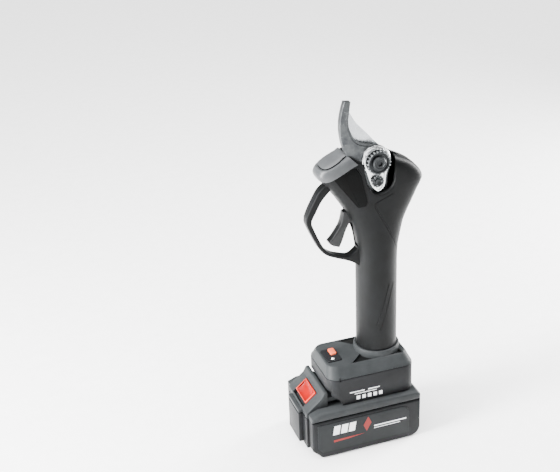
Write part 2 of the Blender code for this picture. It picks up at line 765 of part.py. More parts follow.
def trigger():
    front = [(-32.5, 230.9), (-33.5, 225.3), (-35.5, 218.9), (-39.4, 212.8), (-43.2, 207.7), (-46.4, 204.6)]
    back = [(-36.8, 197.8), (-34.6, 202.0), (-32.8, 206.7), (-29.9, 214.5), (-26.8, 219.6), (-22.0, 221.8)]
    outline = smooth(front, 2) + [(-45.4, 202.2), (-41.0, 199.3)] + smooth(back, 2)
    outline += arc(TRIGGER_PIVOT, 5.0, -60, 95, 8) + [(-27.0, 232.2)]
    made = prism("trigger", outline, "Y", (-4.2, 4.2))
    ring_cut(made, "trigger_bore", TRIGGER_PIVOT, 1.56, 24)
    soften(made, 0.8, 2, 50)
    return finish(made, black(), (TRIGGER_PIVOT[0], 0, TRIGGER_PIVOT[1]))


def trigger_pin():
    return finish(cylinder("trigger_pin", "Y", TRIGGER_PIVOT, (-8.3, 8.3), 1.5, 24), steel())


def trigger_magnet():
    made = box("trigger_magnet", (-16.7, -1.8, 224.6), (-15.5, 1.8, 228.4))
    return finish(made, steel(), (TRIGGER_PIVOT[0], 0, TRIGGER_PIVOT[1]))


def hall_board():
    return finish(box("hall_board", (-17.2, -5.5, 198.0), (-16.0, 5.5, 211.5)), board())


# ---- foot ----------------------------------------------------------------------------------------

def foot_ring(height, front, back, half, radius):
    return [(x, y, height) for x, y in rounded((front, -half), (back, half), radius)]


def foot_shell():
    low, seam, top = FOOT_Z
    front, back = FOOT_X
    made = loft("foot_shell", [foot_ring(low, front, back, FOOT_HALF, 11.0),
                               foot_ring(seam, front, back, FOOT_HALF, 11.0),
                               foot_ring(top, -55.6, 22.6, 22.4, 9.0)])
    soften(made, 0.8, 2, 30)
    w = FOOT_WALL
    cut(made, loft("foot_hollow", [foot_ring(low - 2, front + w, back - w, FOOT_HALF - w, 8.6),
                                   foot_ring(seam - 1, front + w, back - w, FOOT_HALF - w, 8.6),
                                   foot_ring(top - w, -53.2, 20.2, 20.0, 7.0)]))
    collar = cylinder("foot_collar", "Z", (0, 0), (top - 1.2, 92.0), 23.2, 48, radius_2=20.4)
    join(made, collar)
    cut(made, cylinder("foot_bore", "Z", (0, 0), (80.0, 100.0), 19.35, 48))
    cut(made, box("foot_mouth", (-60.0, -26.4, 47.0), (-53.0, 26.4, 64.5)))
    corner = [(-64.0, 62.0), (-54.3, 59.7), (-49.8, 56.4), (-46.6, 52.2), (-45.0, 46.0), (-64.0, 46.0)]
    cut(made, prism("foot_corner", corner, "Y", (-35.0, 35.0)))
    pocket = rounded((-53.3, -13.3), (-39.2, 9.3), 2.3)
    cut(made, prism("panel_pocket", pocket, "Z", (86.0, 95.0)))
    return finish(made, charcoal())


def foot_rail(side):
    label = "left" if side < 0 else "right"
    low, high = sorted((side * 20.6, side * 27.4))
    return finish(box("foot_rail_" + label, (-44.0, low, 49.6), (15.5, high, 52.4)), steel())


def terminal_block():
    made = soften(box("terminal_block", (-8.0, -14.0, 60.8), (20.0, 14.0, 66.0)), 0.8)
    for index, side in enumerate(TERMINALS):
        join(made, box(f"terminal_blade_{index}", (-5.0, side - 0.4, 50.6), (14.0, side + 0.4, 62.0)))
    return finish(made, black())


def controller_board():
    return finish(box("controller_board", (-50.0, -24.0, 68.8), (18.0, 24.0, 70.4)), board())


def heat_sink():
    made = box("heat_sink", (-12.0, -16.0, 70.7), (12.0, -4.0, 78.0))
    for k in range(5):
        left = -9.6 + 4.2 * k
        cut(made, box(f"fin_gap_{k}", (left, -17.0, 72.5), (left + 2.1, -3.0, 79.0)))
    return finish(made, steel())


def switch_panel():
    made = prism("switch_panel", rounded((-53.0, -13.0), (-39.5, 9.0), 2.0), "Z", (86.3, 88.0))
    cut(made, prism("button_hole", rounded((-46.8, -2.8), (-40.2, 8.0), 1.6), "Z", (80, 95)))
    cut(made, cylinder("light_hole", "Z", (-47.0, -9.0), (80, 95), 1.8, 24))
    return finish(made, black())


def power_button():
    made = prism("power_button", rounded((-46.4, -2.4), (-40.6, 7.6), 1.3), "Z", (87.0, 89.2))
    return finish(made, red())


def status_light():
    return finish(cylinder("status_light", "Z", (-47.0, -9.0), (86.3, 88.5), 1.5, 24), white())


# ---- battery pack --------------------------------------------------------------------------------

CASE_SCREWS = [(-72.3, -22.0), (-72.3, 22.0)]


def pack_outline(inset, top):
    front, back = PACK_X[0] + inset, PACK_X[1] - inset
    radius = 10.0 - inset
    lower = arc((back - radius, 10.0), radius, -90, 0, 6)
    return [(-67.0 + 0.3 * inset, inset)] + lower + [(back, top), (front, top), (front, 10.0 + 0.3 * inset)]


def battery_case():
    made = prism("battery_case", pack_outline(0.0, PACK_SPLIT - GAP), "Y", (-PACK_HALF, PACK_HALF))
    soften(made, 2.4, 3, 50)
    join(made, soften(box("case_nose", (-80.0, -26.0, 8.0), (-76.0, 26.0, PACK_SPLIT - GAP)), 0.8))
    join(made, soften(box("case_front", (-84.0, -15.0, 9.0), (-76.0, 15.0, PACK_SPLIT - GAP)), 0.8))
    reach = PACK_HALF - PACK_WALL
    cut(made, prism("case_hollow", pack_outline(PACK_WALL, 50.0), "Y", (-reach, reach)))
    for index, place in enumerate(CASE_SCREWS):
        join(made, cylinder(f"case_boss_{index}", "Z", place, (4.5, PACK_SPLIT - GAP), 3.4, 24))
        cut(made, cylinder(f"case_screw_sink_{index}", "Z", place, (-2.0, 8.0), 2.4, 24))
        cut(made, cylinder(f"case_screw_bore_{index}", "Z", place, (2.0, 45.0), 1.3, 16))
    return finish(made, charcoal())


def slope_frame():
    along_slope = Vector((SLOPE_TOP[0] - SLOPE_FOOT[0], 0, SLOPE_TOP[1] - SLOPE_FOOT[1])).normalized()
    outward = along_slope.cross(Vector((0, 1, 0)))
    frame = Matrix((along_slope, (0, 1, 0), outward)).transposed().to_4x4()
    return Matrix.Translation((SLOPE_FOOT[0] * MM, 0, SLOPE_FOOT[1] * MM)) @ frame


def on_slope(made):
    made.data.transform(slope_frame())
    return made


def battery_lid():
    front, back = PACK_X
    outline = [(front, PACK_SPLIT), (back, PACK_SPLIT), (back, PACK_TOP - 3), (back - 3, PACK_TOP),
               (front + 9.0, PACK_TOP), (front, PACK_TOP - 3.4)]
    made = prism("battery_lid", outline, "Y", (-PACK_HALF, PACK_HALF))
    soften(made, 1.2, 2, 60)
    nose = [(-80.0, PACK_SPLIT + 0.5), (-58.8, PACK_SPLIT + 0.5), (-58.8, 64.0), (-62.2, 64.0), SLOPE_TOP,
            SLOPE_FOOT]
    join(made, soften(prism("lid_nose", nose, "Y", (-26.0, 26.0)), 0.8))
    join(made, soften(box("lid_front", (-84.0, -15.0, PACK_SPLIT + 0.9), (-74.0, 15.0, 44.4)), 0.8))
    tower = [(-20.0, 47.0), (20.0, 47.0), (20.0, 53.0), (24.0, 53.0), (24.0, 57.0), (-24.0, 57.0), (-24.0, 53.0),
             (-20.0, 53.0)]
    join(made, profile_bar("lid_tower", tower, (-60.5, TOWER_X[1])))
    reach = PACK_HALF - PACK_WALL
    cut(made, box("lid_hollow", (-68.0, -reach, 38.0), (back - 2.4, reach, 46.3)))
    cut(made, box("tower_hollow", (-56.0, -17.6, 45.0), (TOWER_X[1] - 2.2, 17.6, 54.8)))
    for index, side in enumerate(TERMINALS):
        cut(made, box(f"terminal_slot_{index}", (-8.0, side - 0.9, 49.0), (25.0, side + 0.9, 60.0)))
    cut(made, on_slope(box("button_pocket", (0.9, -14.1, -4.6), (19.0, 14.1, 8.0))))
    cut(made, on_slope(box("stem_slot", (8.7, -4.8, -16.0), (17.1, 4.8, -4.0))))
    for index, place in enumerate(CASE_SCREWS):
        cut(made, cylinder(f"lid_screw_bore_{index}", "Z", place, (30.0, 45.2), 1.25, 16))
    return finish(made, charcoal())


def release_button():
    made = on_slope(box("release_button", (4.6, -13.7, -2.6), (18.6, 13.7, 0.9)))
    soften(made, 0.7)
    join(made, on_slope(box("button_stem", (12.6, -4.4, -9.0), (16.6, 4.4, -2.0))))
    dish = on_slope(cylinder("button_dish", "Y", (11.6, 13.2), (-11.2, 11.2), 13.2, 64))
    cut(made, dish)
    return finish(made, red())


def cell_row(row):
    """Five cells in their holder."""
    half = CELL_LENGTH / 2
    height = FIRST_CELL[1] + CELL_PITCH[1] * row
    back = FIRST_CELL[0] + 4 * CELL_PITCH[0]
    name = "cell_row_" + ("lower", "upper")[row]
    made = box(name, (FIRST_CELL[0], -25.0, height - 3.0), (back, -21.0, height + 3.0))
    join(made, box(f"cell_holder_{row}", (FIRST_CELL[0], 21.0, height - 3.0), (back, 25.0, height + 3.0)))
    for k in range(5):
        place = (FIRST_CELL[0] + CELL_PITCH[0] * k, height)
        join(made, cylinder(f"cell_{row}_{k}", "Y", place, (-half, half), CELL_RADIUS, 20))
    return finish(made, cell_wrap())


def pack_board():
    made = box("pack_board", (-50.0, -28.0, 41.2), (18.0, 28.0, 42.8))
    for index, side in enumerate(TERMINALS):
        for wall in (side - 1.9, side + 0.7):
            join(made, box(f"pack_contact_{index}_{wall:.0f}", (-2.0, wall, 42.0), (6.0, wall + 1.2, 54.0)))
    return finish(made, board())


def case_screw(index, place):
    profile = [(0, 44.6), (1.15, 44.6), (1.15, 7.7), (2.2, 7.7), (2.2, 6.0), (0, 6.0)]
    made = turned(f"case_screw_{index + 1}", [(r, h - 6.0) for r, h in profile], (*place, 6.0), sides=20)
    return finish(made, black_steel())


def label_panel(side):
    label = "left" if side < 0 else "right"
    low, high = sorted((side * (PACK_HALF + GAP), side * (PACK_HALF + 1.0)))
    outline = [(-73.0, 12.0), (-68.0, 7.0), (18.5, 7.0), (18.5, 30.0), (11.5, 37.0), (-73.0, 37.0)]
    return finish(prism("label_panel_" + label, outline, "Y", (low, high)), charcoal())


# ---- assembly ------------------------------------------------------------------------------------

def build():
    clear_scene()
    for side in (-1, 1):
        housing(side)
        side_window(side)
        foot_rail(side)
        label_panel(side)
    shoulder_cap()
    trigger_guard()
    for index, place in enumerate(BOSSES):
        housing_screw(index, place)
    for make in (head_plate, fixed_blade, serrated_nut, pivot_bolt, lock_gear, lock_screw,
                 head_frame, moving_blade, pivot_bush, bevel_sector, bevel_pinion, output_shaft, motor_shaft,
                 rotor, stator, motor_can, ring_gear, gearbox_cover, output_bearing, trigger,
                 trigger_pin, trigger_magnet, hall_board, foot_shell, terminal_block, controller_board,
                 heat_sink, switch_panel, power_button, status_light, battery_case, battery_lid,
                 release_button, pack_board):
        make()
    for index, place in enumerate(BLADE_SCREWS):
        blade_screw(index, place)
    for index, angle in enumerate(RIVETS):
        sector_rivet(index, angle)
    for index, place in enumerate(planet_places()):
        planet_gear(index, place)
    for row in range(2):
        cell_row(row)
    for index, place in enumerate(CASE_SCREWS):
        case_screw(index, place)


build()
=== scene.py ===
# Battery electric pruner: a hooked counter blade, a swinging blade, a pistol grip and a slide-on pack.
import math

import bmesh
import bpy
from mathutils import Matrix, Vector


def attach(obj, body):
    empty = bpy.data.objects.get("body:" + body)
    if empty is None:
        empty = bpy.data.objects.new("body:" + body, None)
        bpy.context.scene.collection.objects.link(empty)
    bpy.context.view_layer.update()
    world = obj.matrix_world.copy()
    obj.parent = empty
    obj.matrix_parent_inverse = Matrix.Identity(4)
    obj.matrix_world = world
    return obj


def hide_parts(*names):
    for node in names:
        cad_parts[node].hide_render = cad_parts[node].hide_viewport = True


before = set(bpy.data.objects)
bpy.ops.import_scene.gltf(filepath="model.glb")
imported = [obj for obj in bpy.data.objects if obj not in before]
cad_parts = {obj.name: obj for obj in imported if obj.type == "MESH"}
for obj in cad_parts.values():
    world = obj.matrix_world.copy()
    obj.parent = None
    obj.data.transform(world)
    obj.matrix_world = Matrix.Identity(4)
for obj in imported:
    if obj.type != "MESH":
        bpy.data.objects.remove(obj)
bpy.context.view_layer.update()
mm = 0.001

pivot = (-4.0, 277.5)       # blade pivot, X and Z in mm
lockPlace = (-4.9, 260.5)   # small locking gear
triggerPivot = (-22.0, 227.0)


# colours and materials

def hexColour(text):
    channels = [int(text[i:i + 2], 16) / 255 for i in (1, 3, 5)]
    linear = [c / 12.92 if c <= 0.04045 else ((c + 0.055) / 1.055) ** 2.4 for c in channels]
    return (*linear, 1.0)


def addNode(tree, kind, settings=None, links=None):
    node = tree.nodes.new(kind)
    for key, value in (settings or {}).items():
        if isinstance(key, int) or key in node.inputs:
            node.inputs[key].default_value = value
        else:
            setattr(node, key, value)
    for key, socket in (links or {}).items():
        tree.links.new(socket, node.inputs[key])
    return node


finishes = {}


# light and dark are the two tones of the colour and patch the size of their drift in mm; rough is the range
# of roughness; grain is the texture's size and relief its depth, in mm; stretch and turn are the lay of the
# grain; gloss is the strength of the reflection off a plastic face; wear is how much of wearColour shows.
def makeFinish(name, light, dark, rough, grain, relief, patch=14.0, metallic=0.0, gloss=0.3,
               stretch=(1.0, 1.0, 1.0), turn=0.0, wear=0.0, wearColour="#8a8c8e"):
    made = bpy.data.materials.new(name)
    made.use_nodes = True
    tree = made.node_tree
    shader = tree.nodes["Principled BSDF"]
    place = addNode(tree, "ShaderNodeTexCoord")
    lay = addNode(tree, "ShaderNodeMapping", {"Scale": stretch, "Rotation": (0.0, turn, 0.0)},
                  {"Vector": place.outputs["Object"]})
    drift = addNode(tree, "ShaderNodeTexNoise", {"Scale": 1.0 / (patch * mm), "Detail": 3.0,
                                                 "Roughness": 0.55}, {"Vector": place.outputs["Object"]})
    fine = addNode(tree, "ShaderNodeTexNoise", {"Scale": 1.0 / (grain * mm), "Detail": 2.0,
                                                "Roughness": 0.6}, {"Vector": lay.outputs["Vector"]})
    tone = addNode(tree, "ShaderNodeMapRange", {"From Min": 0.35, "From Max": 0.65},
                   {"Value": drift.outputs["Fac"]})
    colour = addNode(tree, "ShaderNodeMix", {"data_type": "RGBA", 6: hexColour(dark), 7: hexColour(light)},
                     {"Factor": tone.outputs["Result"]})
    result = colour.outputs[2]
    if wear:
        scuff = addNode(tree, "ShaderNodeTexNoise", {"Scale": 260.0, "Detail": 6.0, "Roughness": 0.7,
                                                     "Distortion": 1.5}, {"Vector": lay.outputs["Vector"]})
        mask = addNode(tree, "ShaderNodeMapRange", {"From Min": 0.6, "From Max": 0.72, "To Max": wear},
                       {"Value": scuff.outputs["Fac"]})
        worn = addNode(tree, "ShaderNodeMix", {"data_type": "RGBA", 7: hexColour(wearColour)},
                       {"Factor": mask.outputs["Result"], 6: result})
        result = worn.outputs[2]
    tree.links.new(result, shader.inputs["Base Color"])
    sheen = addNode(tree, "ShaderNodeMapRange", {"From Min": 0.3, "From Max": 0.7, "To Min": rough[0],
                                                 "To Max": rough[1]}, {"Value": fine.outputs["Fac"]})
    tree.links.new(sheen.outputs["Result"], shader.inputs["Roughness"])
    bump = addNode(tree, "ShaderNodeBump", {"Strength": 0.6, "Distance": relief * mm},
                   {"Height": fine.outputs["Fac"]})
    tree.links.new(bump.outputs["Normal"], shader.inputs["Normal"])
    shader.inputs["Metallic"].default_value = metallic
    if not metallic:
        shader.inputs["Specular IOR Level"].default_value = gloss
    finishes[name] = made
    return made


# glass-filled nylon, spark-eroded mould: an even fine grain that breaks the highlight up
makeFinish("mouldedNylonCharcoal", "#0c0d0e", "#090a0a", (0.36, 0.50), 0.55, 0.05, gloss=0.1)
# ABS foot and pack, a shade lighter, with a satin grain
makeFinish("satinAbsGraphite", "#2b2d2e", "#262829", (0.38, 0.52), 0.6, 0.05, gloss=0.1)
# pack sides and the foot below its seam: the same ABS painted darker, painted shade on the upright faces;
# the switch panel takes it too
makeFinish("satinAbsDark", "#17181a", "#131415", (0.40, 0.54), 0.6, 0.05, gloss=0.12)
# the pack's side panel: a tone between the two, and finer in grain
makeFinish("satinPanelGrey", "#1f2122", "#1b1d1e", (0.36, 0.50), 0.45, 0.03, gloss=0.1)
# painted trim cap: smooth mid grey
makeFinish("paintedTrimGrey", "#3e4041", "#38393b", (0.30, 0.40), 0.5, 0.02)
# polycarbonate inlay, polished mould: mirror-like black
makeFinish("polishedInlayBlack", "#030404", "#020202", (0.1, 0.18), 1.2, 0.004, gloss=0.05)
# the button's rim, paler than its hollow: partly rubbed wear, partly a painted highlight on the faces that
# look up
makeFinish("rubbedAndHighlitRimCoral", "#b0301e", "#a42816", (0.35, 0.45), 0.5, 0.02, gloss=0.2)
# smooth black acetal of the trigger and small controls
makeFinish("mouldedAcetalBlack", "#131415", "#0e0f10", (0.34, 0.46), 0.5, 0.03, gloss=0.25)
# red acetal button: satin, the deeper tone of its hollow; the paler rim above it is partly wear, partly
# painted highlight
makeFinish("mouldedAcetalRed", "#860100", "#720000", (0.28, 0.38), 0.5, 0.02, gloss=0.2)
# drop-forged carbon steel with a phosphate skin, scuffed along its lay
makeFinish("forgedPhosphateSteel", "#4b4d4e", "#36383a", (0.34, 0.52), 0.7, 0.05, metallic=0.85,
           patch=7.0, wear=0.35, wearColour="#b4b6b7")
# ground and polished blade steel: fine lines along the grind
makeFinish("groundBladeSteel", "#c2c5c8", "#b0b3b6", (0.20, 0.34), 0.35, 0.015, metallic=0.9,
           stretch=(1.0, 1.0, 0.12), turn=0.7)
# bright zinc-nickel plate on the clamp plate and bolts
makeFinish("platedSteelBright", "#e6e7e8", "#d4d6d7", (0.12, 0.24), 0.5, 0.01, metallic=1.0)
# hot black oxide on the nut, the locking gear and the screws
makeFinish("blackOxideSteel", "#26282a", "#191b1c", (0.26, 0.42), 0.4, 0.02, metallic=0.7,
           wear=0.25, wearColour="#6f7274")
# oxide rubbed off the tooth tips down to the steel
makeFinish("wornToothSteel", "#a4a7a9", "#55585a", (0.24, 0.4), 0.4, 0.03, metallic=0.9, patch=1.6)
# machined gear and shaft steel
makeFinish("machinedGearSteel", "#b9bcbe", "#a6a9ab", (0.25, 0.4), 0.4, 0.015, metallic=1.0)
# drawn motor can, zinc plated
makeFinish("drawnCanSteel", "#c6c8c9", "#b3b5b6", (0.28, 0.42), 0.5, 0.02, metallic=1.0)
# bronze bush and copper winding
makeFinish("sinteredBronze", "#b98a55", "#a27444", (0.35, 0.5), 0.3, 0.03, metallic=0.9)
makeFinish("enamelledCopper", "#b5693a", "#98532b", (0.25, 0.4), 0.3, 0.04, metallic=0.8,
           stretch=(1.0, 1.0, 6.0))
# epoxy glass board under green mask, and the cells' blue shrink sleeve
makeFinish("maskedBoardGreen", "#1f6b41", "#175434", (0.3, 0.45), 0.5, 0.02)
makeFinish("shrinkSleeveBlue", "#2f74b0", "#27639a", (0.25, 0.35), 1.0, 0.02)
# printed marks and the light's lens
makeFinish("printedInkWhite", "#f0f1f1", "#e4e5e5", (0.45, 0.55), 0.4, 0.005)
makeFinish("printedInkRed", "#7e0c04", "#700a03", (0.45, 0.55), 0.4, 0.005)
makeFinish("frostedLensWhite", "#f6f7f7", "#eceeee", (0.2, 0.3), 0.5, 0.005)
makeFinish("litButtonAmber", "#e06a44", "#d45a36", (0.3, 0.4), 0.5, 0.01)
# unlit depth behind gaps
makeFinish("shadowBlackPlastic", "#0b0c0c", "#070808", (0.5, 0.65), 0.6, 0.03, gloss=0.1)
print("materials", len(finishes))


# mesh helpers, all in mm

def pieceFrom(name, bm, fix=True):
    if fix:
        bmesh.ops.recalc_face_normals(bm, faces=bm.faces)
    mesh = bpy.data.meshes.new(name)
    bm.to_mesh(mesh)
    bm.free()
    made = bpy.data.objects.new(name, mesh)
    bpy.context.scene.collection.objects.link(made)
    return made


def loftPiece(name, rings):
    bm = bmesh.new()
    rows = [[bm.verts.new([c * mm for c in point]) for point in ring] for ring in rings]
    count = len(rows[0])
    for low, high in zip(rows, rows[1:]):
        for i in range(count):
            j = (i + 1) % count
            bm.faces.new((low[i], low[j], high[j], high[i]))
    bm.faces.new(rows[0][::-1])
    bm.faces.new(rows[-1])
    return pieceFrom(name, bm)


def slabPiece(name, outline, axis, rows):
    # rows are (place along the axis, growth of the outline)
    rings = []
    for place, growth in rows:
        flat = grown(outline, growth) if growth else outline
        rings.append([(u, place, v) if axis == "Y" else (u, v, place) for u, v in flat])
    return loftPiece(name, rings)


def boxPiece(name, low, high):
    bm = bmesh.new()
    size = [(b - a) * mm for a, b in zip(low, high)]
    middle = [(a + b) / 2 * mm for a, b in zip(low, high)]
    bmesh.ops.create_cube(bm, size=1.0, matrix=Matrix.Translation(middle) @ Matrix.Diagonal((*size, 1.0)))
    return pieceFrom(name, bm)


def turnedPiece(name, profile, centre, axis="Y", sides=64):
    # profile is a closed or axis-to-axis line of (radius, place)
    bm = bmesh.new()
    points = [bm.verts.new((r * mm, 0.0, h * mm)) for r, h in profile]
    edges = [bm.edges.new(pair) for pair in zip(points, points[1:])]
    if profile[0][0] > 0.0:
        edges.append(bm.edges.new((points[-1], points[0])))
    bmesh.ops.spin(bm, geom=points + edges, axis=(0, 0, 1), cent=(0, 0, 0), steps=sides, angle=2 * math.pi)
    bmesh.ops.remove_doubles(bm, verts=bm.verts, dist=1e-6)
    turn = Matrix.Rotation(-math.pi / 2, 4, "X") if axis == "Y" else Matrix.Identity(4)
    bmesh.ops.transform(bm, matrix=Matrix.Translation([c * mm for c in centre]) @ turn, verts=bm.verts)
    return pieceFrom(name, bm)


def boreCutter(radius, place, low=-9.0, high=9.0):
    # a round hole through the thickness at an X and Z place
    return turnedPiece("bore", [(0, low), (radius, low), (radius, high), (0, high)], (place[0], 0, place[1]))


def settle(piece):
    # apply every modifier
    bpy.context.view_layer.update()
    seen = piece.evaluated_get(bpy.context.evaluated_depsgraph_get())
    mesh = bpy.data.meshes.new_from_object(seen)
    piece.modifiers.clear()
    old = piece.data
    piece.data = mesh
    bpy.data.meshes.remove(old)
    return piece


def carve(piece, cutter, operation="DIFFERENCE"):
    step = piece.modifiers.new("carve", "BOOLEAN")
    step.operation = operation
    step.solver = "EXACT"
    step.object = cutter
    settle(piece)
    bpy.data.objects.remove(cutter, do_unlink=True)
    return piece


def roundEdges(piece, width, segments=3, angle=35.0):
    step = piece.modifiers.new("round", "BEVEL")
    step.width = width * mm
    step.segments = segments
    step.limit_method = "ANGLE"
    step.angle_limit = math.radians(angle)
    step.use_clamp_overlap = True
    return settle(piece)


def smoothShade(piece, angle=32.0):
    bm = bmesh.new()
    bm.from_mesh(piece.data)
    bmesh.ops.remove_doubles(bm, verts=bm.verts, dist=2e-6)
    bmesh.ops.dissolve_degenerate(bm, edges=bm.edges, dist=1e-6)
    limit = math.radians(angle)
    for face in bm.faces:
        face.smooth = True
    for edge in bm.edges:
        edge.smooth = len(edge.link_faces) == 2 and edge.calc_face_angle(0.0) < limit
    bm.to_mesh(piece.data)
    bm.free()
    return piece


def dress(piece, finish, slot, body, *nodes, angle=32.0):
    # material, shading, body and the CAD nodes that the piece stands for; slot is not used
    smoothShade(piece, angle)
    piece.data.materials.clear()
    piece.data.materials.append(finishes[finish])
    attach(piece, body)
    if nodes:
        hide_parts(*nodes)
    return piece


def secondFinish(piece, finish, chosen):
    # the faces that chosen picks take another finish
    piece.data.materials.append(finishes[finish])
    for face in piece.data.polygons:
        if chosen(face):
            face.material_index = len(piece.data.materials) - 1
    return piece


def arc(centre, radius, start, stop, steps):
    angles = [math.radians(start + (stop - start) * i / steps) for i in range(steps + 1)]
    return [(centre[0] + radius * math.cos(a), centre[1] + radius * math.sin(a)) for a in angles]


def rectangle(left, right, low, high):
    return [(left, low), (right, low), (right, high), (left, high)]


def rounded(low, high, radius, steps=8):
    (x0, y0), (x1, y1) = low, high
    corners = [((x1 - radius, y0 + radius), -90), ((x1 - radius, y1 - radius), 0),
               ((x0 + radius, y1 - radius), 90), ((x0 + radius, y0 + radius), 180)]
    return [point for centre, start in corners for point in arc(centre, radius, start, start + 90, steps)]


def grown(outline, amount):
    area = sum(a[0] * b[1] - b[0] * a[1] for a, b in zip(outline, outline[1:] + outline[:1]))
    side = 1.0 if area > 0 else -1.0
    result = []
    for i, here in enumerate(outline):
        ahead = (Vector(outline[(i + 1) % len(outline)]) - Vector(here)).normalized()
        behind = (Vector(here) - Vector(outline[i - 1])).normalized()
        first = Vector((behind.y, -behind.x)) * side
        second = Vector((ahead.y, -ahead.x)) * side
        mitre = (first + second) / max(0.4, 1.0 + first.dot(second))
        result.append(tuple(Vector(here) + mitre * amount))
    return result


def curveLine(values, t):
    # Catmull-Rom through rows of numbers, t counted in rows
    last = len(values) - 1
    i = min(int(t), last - 1)
    f = t - i
    a, b, c, d = (values[max(0, min(last, i + k))] for k in (-1, 0, 1, 2))
    return [0.5 * (2 * q + (r - p) * f + (2 * p - 5 * q + 4 * r - s) * f * f
                   + (3 * q - p - 3 * r + s) * f ** 3) for p, q, r, s in zip(a, b, c, d)]


def smoothLine(points, steps=6):
    count = (len(points) - 1) * steps
    return [tuple(curveLine(points, k / steps)) for k in range(count)] + [tuple(points[-1])]


# grip and head

shell = {
    "sides": 112,
    "rowsBetween": 4,
    "foot": 80.5,
    "wall": 2.2,
    "split": 0.12,          # half the parting gap between the two shells
    "lip": 1.15,            # depth of the pockets for cap and windows
    "fitGap": 0.25,         # room round the cap, the windows and the guard
    # height, front, back, half thickness, squareness
    "sections": [
        (80.5, -19.0, 19.0, 19.0, 2.0), (115.0, -19.0, 19.0, 19.0, 2.0), (150.0, -19.0, 19.0, 19.0, 2.0),
        (183.0, -19.2, 19.2, 18.6, 2.0), (195.0, -19.9, 19.9, 18.2, 2.1), (207.0, -21.8, 22.3, 17.8, 2.2),
        (217.0, -24.6, 24.6, 17.5, 2.3), (225.0, -27.5, 28.0, 17.2, 2.4), (234.0, -32.0, 32.4, 17.0, 2.6),
        (246.0, -39.5, 37.6, 16.8, 3.0), (254.0, -45.0, 41.4, 16.7, 3.3), (258.0, -48.2, 41.6, 16.6, 3.4),
        (263.0, -52.8, 38.8, 16.5, 3.5), (268.0, -56.0, 34.4, 16.4, 3.5), (272.0, -55.6, 29.6, 16.2, 3.5),
        (276.0, -52.4, 22.6, 15.8, 3.4), (280.0, -46.6, 14.4, 15.2, 3.3), (284.0, -38.4, 8.4, 14.2, 3.2),
        (287.0, -33.0, 3.4, 12.6, 3.0)],
    # height below the top and growth of the outline, where the crown rounds over
    "crown": [(1.5, 0.0), (0.7, -0.5), (0.2, -1.3), (0.0, -2.4)],
    # room for the cutting head: outlines, and (place, growth) rows through the thickness
    "valley": [(-27.0, 284.0), (-16.6, 276.0), (-16.2, 269.0), (-14.3, 259.8), (-11.6, 254.4), (-8.2, 251.0),
               (-4.0, 249.4), (0.5, 249.8), (4.6, 251.6), (8.2, 254.8), (10.1, 258.8), (11.8, 273.3),
               (13.6, 281.3), (15.0, 300.0), (-36.0, 300.0), (-36.0, 292.0)],
    "valleyRows": [(-30.0, 1.5), (-16.9, 1.5), (-15.4, 0.2), (-14.6, 0), (-4.9, 0)],
    "plateRows": [(-30.0, 1.2), (-16.4, 0.9), (-15.4, 0.5), (-11.5, 0.5)],
    "hookDisc": [(0, -11.9), (14.1, -11.9), (14.1, -4.8), (0, -4.8)],
    "bladeWay": ((-37.2, -5.6, 264.0), (18.0, 0.5, 310.0)),
    "rootRows": [(-11.9, 0), (-4.85, 0)],
    "rootWay": [(-36.5, 283.0), (-22.6, 275.0), (-17.6, 269.8), (-14.6, 262.0), (-14.6, 241.4), (6.6, 241.4),
                (6.6, 266.0), (-20.0, 300.0), (-40.0, 300.0)],
    "lipGroove": [(-9.4, 249.6), (-4.6, 247.4), (0.9, 247.8), (5.9, 250.0), (10.2, 253.8)],
    "gripGrooves": [[(5.0, 160.0), (-6.6, 119.6)], [(10.0, 160.0), (-3.6, 112.5)]],
    "cap": [(-66.0, 265.5), (-51.6, 264.6), (-47.9, 266.0), (-29.6, 276.0), (-23.1, 278.6), (-32.4, 287.6),
            (-45.0, 296.0), (-66.0, 284.0)],
    "capSlit": [(-64.0, 276.6), (-52.0, 275.6), (-42.0, 279.8), (-33.0, 285.2), (-27.0, 289.6)],
    "window": [(-44.5, 267.4), (-29.8, 275.2), (-24.4, 275.0), (-20.7, 269.1), (-14.9, 243.0),
               (-16.5, 239.4), (-22.8, 238.2)],
    "windowLine": [(-35.5, 270.0), (-31.0, 259.5), (-22.0, 240.0)],
    "seam": [(9.7, 247.4), (-7.3, 240.6), (-7.6, 236.4), (11.1, 201.2), (15.6, 190.0)],
    "triggerSlot": [(-40.0, 195.5), (-18.5, 195.5), (-20.2, 205.0), (-21.2, 212.5), (-12.5, 212.5),
                    (-12.5, 236.0), (-40.0, 236.0)],
    "slotHalf": 4.7,
}
skinNear = 4.0      # nearest and farthest place of a cut into one side's skin
skinFar = 30.0


def shellRow(height):
    rows = shell["sections"]
    for i, (low, high) in enumerate(zip(rows, rows[1:])):
        if height <= high[0]:
            return curveLine(rows, i + (height - low[0]) / (high[0] - low[0]))
    return list(rows[-1])


def shellRing(height, offset):
    _, front, back, half, power = shellRow(height)
    middle, wide, deep = (front + back) / 2, (back - front) / 2 + offset, half + offset
    ring = []
    for i in range(shell["sides"]):
        angle = 2 * math.pi * (i + 0.5) / shell["sides"]
        c, s = math.cos(angle), math.sin(angle)
        reach = (abs(c) ** power + abs(s) ** power) ** (-1 / power)
        ring.append((middle + wide * c * reach, deep * s * reach, height))
    return ring


def shellBody(name, offset, bottom=shell["foot"], top=shell["sections"][-1][0]):
    heights = [bottom]
    for low, high in zip(shell["sections"], shell["sections"][1:]):
        steps = shell["rowsBetween"]
        between = [low[0] + (high[0] - low[0]) * k / steps for k in range(steps)]
        heights += [h for h in between if bottom + 0.4 < h < top - 1.6]
    rings = []
    for height in heights:
        section = shellRing(max(height, shell["foot"]), offset)
        rings.append([(x, y, height) for x, y, _ in section])
    for below, growth in shell["crown"]:
        section = shellRing(top - below, offset + growth)
        rings.append([(x, y, height + offset) for x, y, height in section])
    return loftPiece(name, rings)


